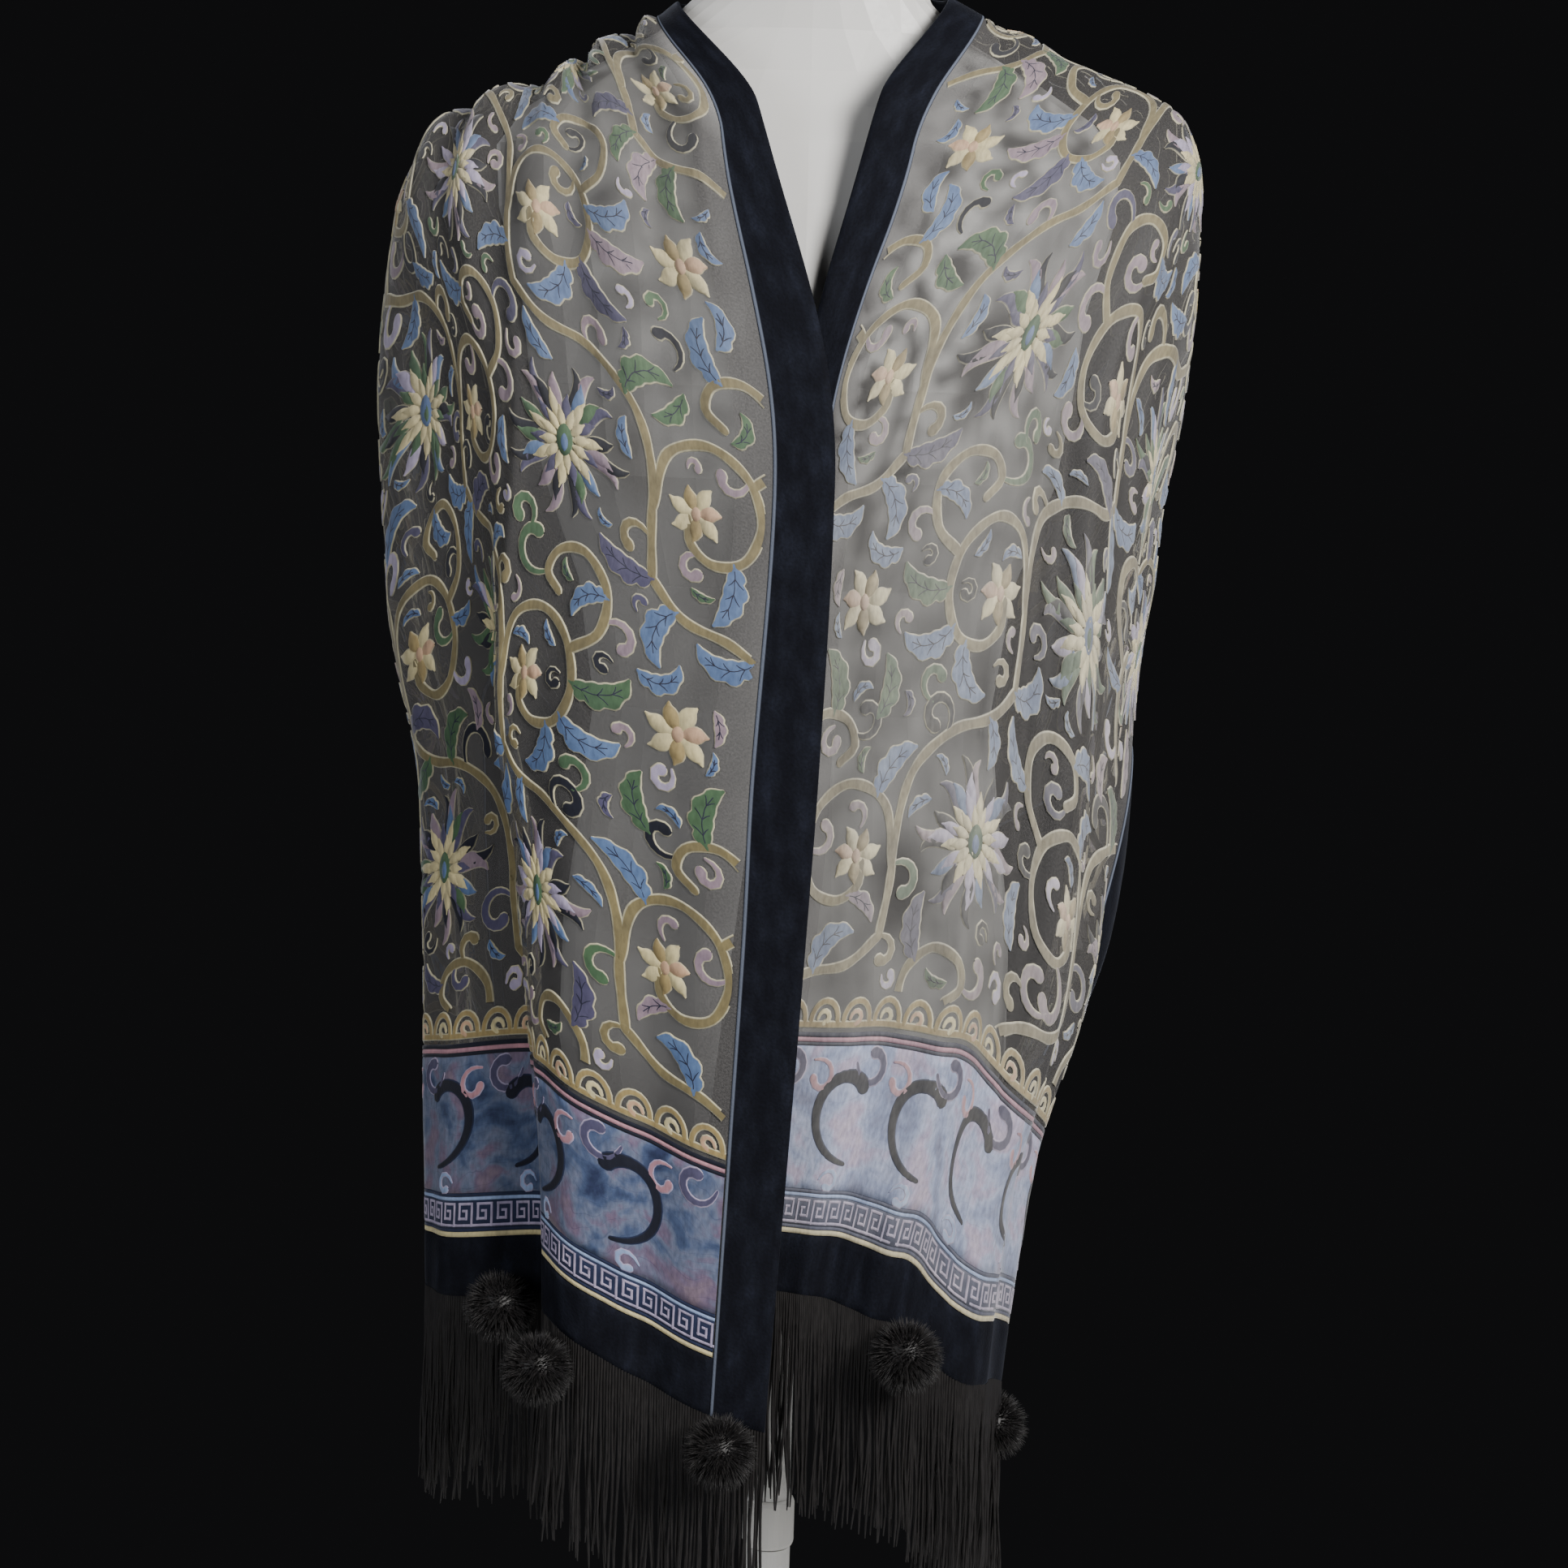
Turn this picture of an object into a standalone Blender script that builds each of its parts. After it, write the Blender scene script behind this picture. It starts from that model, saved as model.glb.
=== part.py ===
"""Burnout velvet scarf draped round the shoulders of a limbless dress form.

Metres, +Z up, the front facing -Y. The origin is the middle of the stand's underside. One long
rectangle of cloth lies round the back of the neck and over both shoulders, and both ends hang in
front, the left end (-X) over the right end (+X). A place on the cloth is given by how far it is
across from the neck edge and how far it is along from the left hem.
"""

import math

import bmesh
import bpy
import numpy as np
from mathutils import Vector
from mathutils.bvhtree import BVHTree

COLLECTION_NAME = "burnout_velvet_scarf"
SEAM_GAP = 0.0003

# The cloth as cut
CLOTH_WIDTH = 0.60
LEFT_RUN = 0.955
RIGHT_RUN = 0.875
CLOTH_LENGTH = LEFT_RUN + RIGHT_RUN
EDGE_BAND = 0.034
HEM_BAND = 0.032
BORDER_BAND = 0.125
FRONT_SHARE = 0.84
SHEER_WALL = 0.0016
VELVET_WALL = 0.0022
TINY = 1e-4

# Steps of the cloth's grid
COLUMN_STEP = 0.0178
FRONT_STEP = 0.040
SHOULDER_STEP = 0.026
SHOULDER_START = 0.58

# The fringe and the fur balls
STRANDS_PER_END = 64
STRAND_LENGTH = 0.130
STRAND_SHARE = 0.42
STRAND_TIP = 0.6
STRAND_ROOM = 0.003
STRAND_SPACING = 0.0055
FRINGE_STRIP = 0.006
BALL_RADIUS = 0.0205
BALL_CLEARANCE = 0.0004
BALL_MERIDIANS = 12
BALL_BANDS = 8
SEAT_ROUNDS = 10
EDGE_SAMPLES = 7

# The stand
ROD_RADIUS = 0.0125
TUBE_RADIUS = 0.0135
COLLAR_RADIUS = 0.0155
COLLAR_BOTTOM = 0.492
COLLAR_TOP = 0.522
BASE_RADIUS = 0.19
BASE_HEIGHT = 0.018
BASE_BEVEL = 0.004
STAND_SIDES = 28

# Rings of the drape, each a closed line at one distance down from the neck.
# drop, then depth and height in front, half width and height at each side, depth and height behind
RINGS = (
    (0.00, 0.055, 1.400, 0.075, 1.396, 0.075, 1.403, 0.072, 1.428),
    (0.07, 0.085, 1.337, 0.133, 1.356, 0.137, 1.373, 0.100, 1.364),
    (0.16, 0.112, 1.251, 0.211, 1.319, 0.214, 1.337, 0.126, 1.278),
    (0.21, 0.121, 1.202, 0.234, 1.276, 0.225, 1.290, 0.136, 1.229),
    (0.30, 0.131, 1.112, 0.242, 1.186, 0.222, 1.202, 0.146, 1.139),
    (0.44, 0.136, 0.972, 0.235, 1.046, 0.213, 1.062, 0.150, 0.999),
    (0.54, 0.136, 0.872, 0.217, 0.947, 0.207, 0.961, 0.148, 0.899),
    (0.63, 0.135, 0.782, 0.213, 0.857, 0.195, 0.873, 0.142, 0.810),
    (0.76, 0.133, 0.652, 0.209, 0.728, 0.155, 0.746, 0.130, 0.681),
    (0.95, 0.131, 0.462, 0.203, 0.536, 0.132, 0.556, 0.118, 0.491),
)

# Threads that run the length of the cloth, from the hem up over the shoulder to the nape.
# across, then the angle round from the front, the drop and the inset at the hem, the waist, the
# chest, the collar and the shoulder. At the nape a thread's drop is its own place across.
LEFT_THREADS = (
    (0.00, (1, 0.805, 0), (-3.5, 0.460, 0), (-4.5, 0.280, 0), (12, 0.075, 0), (90, 0.000, 0)),
    (0.08, (21, 0.790, 0), (18, 0.465, 0), (14, 0.285, 0), (32, 0.095, 0), (90, 0.030, 0)),
    (0.15, (38, 0.780, 0), (38, 0.490, 0), (30, 0.290, 0), (47, 0.120, 0), (90, 0.065, 0)),
    (0.20, (43, 0.785, 0.026), (46, 0.500, 0.008), (41, 0.295, 0), (56, 0.145, 0), (90, 0.090, 0)),
    (0.25, (50, 0.795, 0.036), (50, 0.505, 0.030), (50, 0.305, 0.010), (64, 0.165, 0), (91, 0.12, 0)),
    (0.33, (78, 0.835, 0.004), (70, 0.530, 0.012), (64, 0.320, 0.014), (80, 0.200, 0), (97, 0.17, 0)),
    (0.38, (92, 0.840, 0), (89, 0.540, 0), (85, 0.345, 0), (94, 0.240, 0), (106, 0.215, 0)),
    (0.48, (112, 0.835, 0.010), (108, 0.540, 0.006), (110, 0.390, 0), (118, 0.33, 0), (130, 0.36, 0)),
    (0.60, (132, 0.800, 0), (124, 0.600, 0), (128, 0.520, 0), (136, 0.500, 0), (146, 0.530, 0)),
)
RIGHT_THREADS = (
    (0.00, (-16, 0.725, 0.013), (-6, 0.460, 0.013), (-1, 0.250, 0.012), (16, 0.07, 0), (90, 0.00, 0)),
    (0.08, (4, 0.730, 0.013), (12, 0.465, 0.012), (12, 0.270, 0.010), (33, 0.110, 0), (90, 0.05, 0)),
    (0.16, (23, 0.757, 0.004), (30, 0.480, 0.004), (30, 0.290, 0.002), (52, 0.14, 0), (90, 0.11, 0)),
    (0.24, (48, 0.840, 0), (46, 0.500, 0), (46, 0.310, 0), (70, 0.190, 0), (93, 0.180, 0)),
    (0.32, (80, 0.900, 0.001), (61, 0.515, 0.001), (62, 0.330, 0), (86, 0.250, 0), (100, 0.260, 0)),
    (0.35, (79, 0.898, 0.009), (63, 0.518, 0.010), (67, 0.34, 0.003), (90, 0.275, 0), (104, 0.29, 0)),
    (0.38, (74, 0.893, 0.020), (62, 0.520, 0.020), (72, 0.350, 0.007), (94, 0.300, 0), (108, 0.32, 0)),
    (0.45, (61, 0.880, 0.029), (66, 0.530, 0.028), (85, 0.390, 0.010), (103, 0.38, 0), (116, 0.39, 0)),
    (0.51, (67, 0.875, 0.043), (78, 0.560, 0.026), (95, 0.440, 0.005), (109, 0.46, 0), (122, 0.47, 0)),
    (0.60, (92, 0.860, 0.012), (96, 0.620, 0), (106, 0.560, 0), (116, 0.570, 0), (128, 0.575, 0)),
)

# Folds, each a ridge or trough that runs with the threads.
# across at its lower end and its upper end, half width, depth outward, lower and upper share of run
LEFT_FOLDS = (
    (0.060, 0.050, 0.026, 0.005, 0.40, 0.94),
    (0.115, 0.105, 0.027, 0.007, 0.44, 0.94),
    (0.172, 0.160, 0.027, 0.007, 0.47, 0.94),
    (0.235, 0.220, 0.029, 0.007, 0.50, 0.94),
    (0.300, 0.282, 0.029, 0.006, 0.53, 0.92),
    (0.075, 0.090, 0.032, -0.005, -0.1, 0.42),
    (0.122, 0.125, 0.026, 0.004, -0.1, 0.50),
    (0.430, 0.420, 0.040, -0.010, -0.1, 0.75),
    (0.530, 0.520, 0.040, 0.007, -0.1, 0.85),
)
RIGHT_FOLDS = (
    (0.060, 0.060, 0.030, -0.004, -0.1, 0.50),
    (0.112, 0.110, 0.026, -0.006, -0.1, 0.30),
    (0.155, 0.150, 0.024, 0.006, -0.1, 0.34),
    (0.200, 0.196, 0.026, -0.008, -0.1, 0.62),
    (0.242, 0.240, 0.024, 0.005, -0.1, 0.72),
    (0.282, 0.280, 0.024, -0.004, -0.1, 0.72),
    (0.090, 0.080, 0.030, 0.006, 0.72, 0.96),
    (0.150, 0.140, 0.028, 0.008, 0.74, 0.96),
    (0.212, 0.200, 0.028, 0.006, 0.72, 0.95),
)
# Folds of the stretch behind, from the left share of run through the nape to the right one
BACK_FOLDS = (
    (0.130, 0.034, 0.005),
    (0.215, 0.036, -0.006),
    (0.310, 0.036, 0.006),
    (0.420, 0.042, -0.007),
    (0.520, 0.040, 0.006),
)
BACK_FOLD_START = 0.74

# Fur balls: across, where each hangs at the hem, and how far its middle is below the hem's edge
LEFT_BALLS = (
    (0.025, "before", 0.010),
    (0.135, "before", 0.018),
    (0.275, "before", 0.000),
    (0.430, "behind", 0.010),
    (0.575, "behind", 0.010),
)
RIGHT_BALLS = (
    (0.030, "behind", 0.010),
    (0.165, "before", 0.010),
    (0.325, "under", 0.0),
    (0.440, "under", 0.0),
    (0.575, "behind", 0.010),
)

# Level sections of the dress form: height, half width, depth in front, depth behind
FORM_SECTIONS = (
    (0.735, 0.110, 0.064, 0.072),
    (0.747, 0.122, 0.074, 0.082),
    (0.800, 0.132, 0.080, 0.094),
    (0.870, 0.131, 0.080, 0.092),
    (0.940, 0.122, 0.078, 0.082),
    (1.000, 0.116, 0.079, 0.076),
    (1.070, 0.126, 0.088, 0.082),
    (1.130, 0.148, 0.105, 0.096),
    (1.180, 0.156, 0.106, 0.106),
    (1.230, 0.162, 0.098, 0.112),
    (1.280, 0.176, 0.084, 0.108),
    (1.315, 0.178, 0.068, 0.092),
    (1.336, 0.162, 0.052, 0.074),
    (1.356, 0.131, 0.042, 0.062),
    (1.379, 0.089, 0.041, 0.057),
    (1.399, 0.068, 0.044, 0.058),
    (1.415, 0.060, 0.049, 0.058),
    (1.445, 0.057, 0.050, 0.056),
    (1.470, 0.055, 0.050, 0.054),
    (1.480, 0.046, 0.042, 0.046),
)
FORM_SIDES = 32

WHITE = (0.80, 0.79, 0.77, 1)
SHEER_GREY = (0.10, 0.10, 0.11, 1)
PRINT_BLUE = (0.22, 0.26, 0.42, 1)
NAVY_BLACK = (0.010, 0.012, 0.022, 1)
FUR_BLACK = (0.008, 0.007, 0.007, 1)


def make_material(name, colour, roughness, metallic=0.0):
    """Returns a plain finish with the part's colour."""
    material = bpy.data.materials.new(name)
    material.use_nodes = True
    shader = material.node_tree.nodes["Principled BSDF"]
    shader.inputs["Base Color"].default_value = colour
    shader.inputs["Roughness"].default_value = roughness
    shader.inputs["Metallic"].default_value = metallic
    material.diffuse_color = colour
    return material


def clear_scene():
    """Removes every object and returns the collection that the parts go in."""
    for thing in list(bpy.data.objects):
        bpy.data.objects.remove(thing, do_unlink=True)
    collection = bpy.data.collections.new(COLLECTION_NAME)
    bpy.context.scene.collection.children.link(collection)
    return collection


def smooth_through(knots, values, places):
    """Reads curves that pass through the values at the knots without overshooting them."""
    knots = np.asarray(knots, float)
    values = np.asarray(values, float)
    shape = (-1,) + (1,) * (values.ndim - 1)
    step = np.diff(knots).reshape(shape)
    slope = np.diff(values, axis=0) / step
    weight_a = (2 * step[1:] + step[:-1]) / 3
    weight_b = (step[1:] + 2 * step[:-1]) / 3
    same_way = slope[:-1] * slope[1:] > 0
    safe_a = np.where(same_way, slope[:-1], 1.0)
    safe_b = np.where(same_way, slope[1:], 1.0)
    middle = (step[:-1] + step[1:]) / (weight_a / safe_a + weight_b / safe_b)
    tangent = np.zeros_like(values)
    tangent[1:-1] = np.where(same_way, middle, 0.0)
    tangent[0] = slope[0]
    tangent[-1] = slope[-1]
    places = np.asarray(places, float)
    cell = np.clip(np.searchsorted(knots, places, side="right") - 1, 0, len(knots) - 2)
    width = (knots[cell + 1] - knots[cell]).reshape(places.shape + (1,) * (values.ndim - 1))
    share = ((places - knots[cell]) / (knots[cell + 1] - knots[cell])).reshape(width.shape)
    return (
        values[cell] * (1 + 2 * share) * (1 - share) ** 2
        + tangent[cell] * width * share * (1 - share) ** 2
        + values[cell + 1] * share**2 * (3 - 2 * share)
        + tangent[cell + 1] * width * share**2 * (share - 1)
    )


def ring_point(angle, drop, inset, side):
    """Places points on the drape: side is -1 for the left and +1 for the right."""
    table = np.array(RINGS)
    ring = smooth_through(table[:, 0], table[:, 1:], drop)
    front_depth, front_height = ring[..., 0], ring[..., 1]
    first = 2 if side < 0 else 4
    half_width, side_height = ring[..., first], ring[..., first + 1]
    back_depth, back_height = ring[..., 6], ring[..., 7]
    turn = np.radians(angle)
    ahead = np.cos(turn)
    depth = np.where(ahead > 0, -front_depth, -back_depth)
    end_height = np.where(ahead > 0, front_height, back_height)
    x = side * (half_width - inset) * np.sin(turn)
    y = (depth + inset) * ahead
    z = end_height * ahead**2 + side_height * (1 - ahead**2)
    return np.stack((x, y, z), axis=-1)


def thread_path(row, side, shares):
    """Reads one thread's angle, drop and inset at shares of its run from hem to nape."""
    across = row[0]
    stops = np.array(row[1:] + ((180, across, 0),), float)
    lengths = [0.0]
    for start, end in zip(stops[:-1], stops[1:]):
        line = start + (end - start) * np.linspace(0, 1, 9)[:, None]
        points = ring_point(line[:, 0], line[:, 1], line[:, 2], side)
        lengths.append(lengths[-1] + np.linalg.norm(np.diff(points, axis=0), axis=1).sum())
    knots = np.array(lengths) / lengths[-1]
    beyond = np.array([360 - stops[-2][0], stops[-2][1], stops[-2][2]])
    knots = np.append(knots, 2 - knots[-2])
    stops = np.vstack((stops, beyond))
    return smooth_through(knots, stops, shares)


def smooth_pole(acrosses, shares, side):
    """Gives the drape without its folds, for one half of the cloth."""
    threads = LEFT_THREADS if side < 0 else RIGHT_THREADS
    paths = np.array([thread_path(row, side, shares) for row in threads])
    stops = smooth_through([row[0] for row in threads], paths, acrosses)
    return ring_point(stops[..., 0], stops[..., 1], stops[..., 2], side)


def bump(distance):
    """A rounded bump, 1 in the middle and 0 from one unit away."""
    return np.where(np.abs(distance) < 1, np.cos(np.clip(distance, -1, 1) * math.pi / 2) ** 2, 0)


def fold_depth(acrosses, shares, side):
    """How far the folds stand out from the smooth drape."""
    across = np.asarray(acrosses)[:, None]
    share = np.asarray(shares)[None, :]
    depth = np.zeros((across.shape[0], share.shape[1]))
    fade = 0.14
    for low, high, width, height, start, end in LEFT_FOLDS if side < 0 else RIGHT_FOLDS:
        reach = np.clip((share - start) / (end - start), 0, 1)
        middle = low + (high - low) * reach
        rise = np.clip((share - start) / fade, 0, 1)
        fall = np.clip((end - share) / fade, 0, 1)
        ease = rise * rise * (3 - 2 * rise) * fall * fall * (3 - 2 * fall)
        depth += height * ease * bump((across - middle) / width)
    back = np.clip((share - BACK_FOLD_START) / (1 - BACK_FOLD_START), 0, 1)
    for middle, width, height in BACK_FOLDS:
        depth += height * back * back * (3 - 2 * back) * bump((across - middle) / width)
    return depth


def surface_normal(surface, acrosses, alongs):
    """Outward direction of a surface given as a function of across and along."""
    reach = 0.002
    by_across = surface(acrosses + reach, alongs) - surface(acrosses - reach, alongs)
    by_along = surface(acrosses, alongs + reach) - surface(acrosses, alongs - reach)
    normal = np.cross(by_along, by_across)
    return normal / np.linalg.norm(normal, axis=-1, keepdims=True)


def smooth_drape(acrosses, alongs):
    """The whole cloth without folds, a grid of points."""
    points = np.zeros((len(acrosses), len(alongs), 3))
    left = alongs <= LEFT_RUN
    if left.any():
        points[:, left] = smooth_pole(acrosses, alongs[left] / LEFT_RUN, -1)
    if (~left).any():
        points[:, ~left] = smooth_pole(acrosses, (CLOTH_LENGTH - alongs[~left]) / RIGHT_RUN, 1)
    return points


def cloth_points(acrosses, alongs):
    """The middle of the cloth with its folds, a grid of points."""
    acrosses = np.asarray(acrosses, float)
    alongs = np.asarray(alongs, float)
    depth = np.zeros((len(acrosses), len(alongs)))
    left = alongs <= LEFT_RUN
    if left.any():
        depth[:, left] = fold_depth(acrosses, alongs[left] / LEFT_RUN, -1)
    if (~left).any():
        depth[:, ~left] = fold_depth(acrosses, (CLOTH_LENGTH - alongs[~left]) / RIGHT_RUN, 1)
    normal = surface_normal(smooth_drape, acrosses, alongs)
    return smooth_drape(acrosses, alongs) + normal * depth[..., None]


def spaced(start, end, step):
    """Even places from start to end, no further apart than step."""
    return np.linspace(start, end, max(1, math.ceil((end - start) / step - TINY)) + 1)


def front_rows(run):
    """Rows of the field of one front stretch, by their distance from the hem."""
    low = HEM_BAND + BORDER_BAND
    turn = SHOULDER_START * run
    lower = spaced(low, turn, FRONT_STEP)
    upper = spaced(turn, FRONT_SHARE * run, SHOULDER_STEP)
    return np.concatenate((lower, upper[1:]))


def trimmed(places):
    """Draws the first and last places in by half a seam gap."""
    places = np.array(places, float)
    places[0] += SEAM_GAP / 2
    places[-1] -= SEAM_GAP / 2
    return places


def mesh_object(name, mesh, material, collection):
    """Puts a mesh in the scene as a named object with its finish."""
    thing = bpy.data.objects.new(name, mesh)
    mesh.materials.append(material)
    collection.objects.link(thing)
    return thing


def add_strip_face(mesh, a, b, c, d):
    """Two triangles over four corners, split along the shorter diagonal."""
    if (a.co - c.co).length <= (b.co - d.co).length:
        mesh.faces.new((a, b, c))
        mesh.faces.new((a, c, d))
    else:
        mesh.faces.new((a, b, d))
        mesh.faces.new((b, c, d))


def shell_mesh(name, middle, half):
    """A closed wall on both sides of a grid of points, split alike on both sides."""
    rows, columns = middle.shape[:2]
    grid = bmesh.new()
    outside, inside = (
        [[grid.verts.new(middle[i, j] + way * half[i, j]) for j in range(columns)] for i in range(rows)]
        for way in (1, -1)
    )
    for i in range(rows - 1):
        for j in range(columns - 1):
            places = ((i, j), (i + 1, j), (i + 1, j + 1), (i, j + 1))
            first = np.linalg.norm(middle[places[0]] - middle[places[2]])
            second = np.linalg.norm(middle[places[1]] - middle[places[3]])
            if first > second:
                places = places[1:] + places[:1]
            for triangle in ((places[0], places[1], places[2]), (places[0], places[2], places[3])):
                grid.faces.new([outside[k][m] for k, m in triangle])
                grid.faces.new([inside[k][m] for k, m in reversed(triangle)])
    rim = [(i, 0) for i in range(rows)]
    rim += [(rows - 1, j) for j in range(1, columns)]
    rim += [(i, columns - 1) for i in range(rows - 2, -1, -1)]
    rim += [(0, j) for j in range(columns - 2, 0, -1)]
    for (i, j), (k, m) in zip(rim, rim[1:] + rim[:1]):
        add_strip_face(grid, inside[i][j], inside[k][m], outside[k][m], outside[i][j])
    bmesh.ops.recalc_face_normals(grid, faces=grid.faces)
    mesh = bpy.data.meshes.new(name)
    grid.to_mesh(mesh)
    grid.free()
    mesh.shade_smooth()
    return mesh


def cloth_piece(name, acrosses, alongs, wall, material, collection):
    """One named stretch of the cloth, a wall of even thickness."""
    acrosses = trimmed(acrosses)
    alongs = trimmed(alongs)
    middle = cloth_points(acrosses, alongs)
    mesh = shell_mesh(name, middle, surface_normal(cloth_points, acrosses, alongs) * wall / 2)
    return mesh_object(name, mesh, material, collection)


def build_cloth(collection, sheer, print_pile, velvet):
    """The field, the printed borders, the velvet edges and the velvet hems."""
    field = spaced(EDGE_BAND, CLOTH_WIDTH - EDGE_BAND, COLUMN_STEP)
    inner = spaced(0, EDGE_BAND, COLUMN_STEP)
    outer = spaced(CLOTH_WIDTH - EDGE_BAND, CLOTH_WIDTH, COLUMN_STEP)
    border = spaced(HEM_BAND, HEM_BAND + BORDER_BAND, FRONT_STEP)
    hem = np.array((0, HEM_BAND))
    left_rows = front_rows(LEFT_RUN)
    right_rows = front_rows(RIGHT_RUN)
    back = np.concatenate(
        (
            spaced(FRONT_SHARE * LEFT_RUN, LEFT_RUN, SHOULDER_STEP),
            CLOTH_LENGTH - spaced(FRONT_SHARE * RIGHT_RUN, RIGHT_RUN, SHOULDER_STEP)[-2::-1],
        )
    )
    for side, rows in (("left", left_rows), ("right", right_rows)):
        stretches = {
            f"field_{side}": (field, rows, SHEER_WALL, sheer),
            f"border_{side}": (field, border, SHEER_WALL, print_pile),
            f"inner_edge_{side}": (inner, np.concatenate((border[:-1], rows)), VELVET_WALL, velvet),
            f"outer_edge_{side}": (outer, np.concatenate((border[:-1], rows)), VELVET_WALL, velvet),
            f"hem_{side}": (hem_columns(), hem, VELVET_WALL, velvet),
        }
        for name, (acrosses, alongs, wall, material) in stretches.items():
            if side == "right":
                alongs = CLOTH_LENGTH - alongs[::-1]
            cloth_piece(name, acrosses, alongs, wall, material, collection)
    cloth_piece("field_back", field, back, SHEER_WALL, sheer, collection)
    cloth_piece("inner_edge_back", inner, back, VELVET_WALL, velvet, collection)
    cloth_piece("outer_edge_back", outer, back, VELVET_WALL, velvet, collection)


def hem_columns():
    """Places across the hem where its wall has its points."""
    field = spaced(EDGE_BAND, CLOTH_WIDTH - EDGE_BAND, COLUMN_STEP)
    inner = spaced(0, EDGE_BAND, COLUMN_STEP)
    return trimmed(np.concatenate((inner[:-1], field, CLOTH_WIDTH - inner[-2::-1])))


def hem_line(acrosses, side):
    """Points, outward and downward directions along the facets of one end of the cloth."""
    end = np.array([0.0]) if side < 0 else np.array([CLOTH_LENGTH])
    into = 0.01 if side < 0 else -0.01
    columns = hem_columns()
    points = cloth_points(columns, end)[:, 0]
    above = cloth_points(columns, end + into)[:, 0]
    out = surface_normal(cloth_points, columns, end)[:, 0]
    down = (points - above) / np.linalg.norm(points - above, axis=1, keepdims=True)
    return [
        np.stack([np.interp(acrosses, columns, values[:, i]) for i in range(3)], axis=-1)
        for values in (points, out, down)
    ]


def fringe_strip(side):
    """A narrow strip under the hem, with the faces below it that the strands grow from."""
    pitch = CLOTH_WIDTH / STRANDS_PER_END
    starts = np.arange(STRANDS_PER_END) * pitch + pitch * (1 - STRAND_SHARE) / 2
    acrosses = np.sort(np.concatenate(((0, CLOTH_WIDTH), starts, starts + pitch * STRAND_SHARE)))
    acrosses = trimmed(acrosses)
    points, out, down = hem_line(acrosses, side)
    half = out * VELVET_WALL / 2
    top = points + down * SEAM_GAP
    foot = points + down * FRINGE_STRIP
    shell = bmesh.new()
    lines = [
        [shell.verts.new(p) for p in line]
        for line in (top + half, foot + half, foot - half, top - half)
    ]
    roots = []
    for first, second in ((0, 1), (1, 2), (2, 3), (3, 0)):
        for j in range(len(acrosses) - 1):
            a, b = lines[first][j], lines[first][j + 1]
            c, d = lines[second][j + 1], lines[second][j]
            face = shell.faces.new((a, b, c, d))
            if first == 1 and j % 2 == 1:
                roots.append(face)
    for j in (0, len(acrosses) - 1):
        shell.faces.new([line[j] for line in lines])
    bmesh.ops.recalc_face_normals(shell, faces=shell.faces)
    return shell, roots


def hang_strands(shell, roots, centres):
    """Draws the strands down out of the strip, none of them through a ball."""
    hung = []
    for root in roots:
        centre = root.calc_center_median()
        near_ball = min((ball.xy - centre.xy).length for ball in centres) < BALL_RADIUS + STRAND_ROOM
        near_strand = any((other.xy - centre.xy).length < STRAND_SPACING for other in hung)
        if near_ball or near_strand:
            continue
        hung.append(centre)
        strand = bmesh.ops.extrude_discrete_faces(shell, faces=[root])["faces"][0]
        for corner in strand.verts:
            corner.co = centre + (corner.co - centre) * STRAND_TIP
            corner.co.z -= STRAND_LENGTH


def ball_mesh(name):
    """A fur ball's plain round core and pile."""
    ball = bmesh.new()
    bmesh.ops.create_uvsphere(ball, u_segments=BALL_MERIDIANS, v_segments=BALL_BANDS, radius=BALL_RADIUS)
    mesh = bpy.data.meshes.new(name)
    ball.to_mesh(mesh)
    ball.free()
    mesh.shade_smooth()
    return mesh


def edge_points(mesh):
    """Points along every edge of a mesh, close together."""
    corners = np.array([vertex.co for vertex in mesh.vertices])
    ends = corners[np.array(mesh.edge_keys)]
    shares = np.linspace(0, 1, EDGE_SAMPLES)[:, None, None]
    return (ends[:, 0] * (1 - shares) + ends[:, 1] * shares).reshape(-1, 3)


def seated_centre(ball, walls, point, out, down, place, sink):
    """Where a ball's middle is once it lies against the hem or its strip, from one side."""
    samples = [Vector(p) for p in edge_points(ball)] + [face.center for face in ball.polygons]
    normals = np.array([face.normal for face in ball.polygons])
    reaches = (normals * np.array([face.center for face in ball.polygons])).sum(axis=1)
    trees = []
    for wall in walls:
        corners = [vertex.co for vertex in wall.vertices]
        trees.append(BVHTree.FromPolygons(corners, [face.vertices for face in wall.polygons]))
    edges = np.vstack([edge_points(wall) for wall in walls])
    facing = {"before": 1, "under": 0, "behind": -1}[place]
    away = Vector(out).normalized() * facing if facing else Vector(down).normalized()
    start = Vector(point) + Vector(down).normalized() * (sink if facing else 0)
    centre = start + away * (BALL_RADIUS + 2 * FRINGE_STRIP)
    for _ in range(SEAT_ROUNDS):
        room = min(tree.find_nearest(centre + sample)[3] for tree in trees for sample in samples)
        beyond = ((edges - np.array(centre)) @ normals.T - reaches).max(axis=1).min()
        centre = centre - away * (min(room, beyond) - BALL_CLEARANCE)
    return centre


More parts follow.
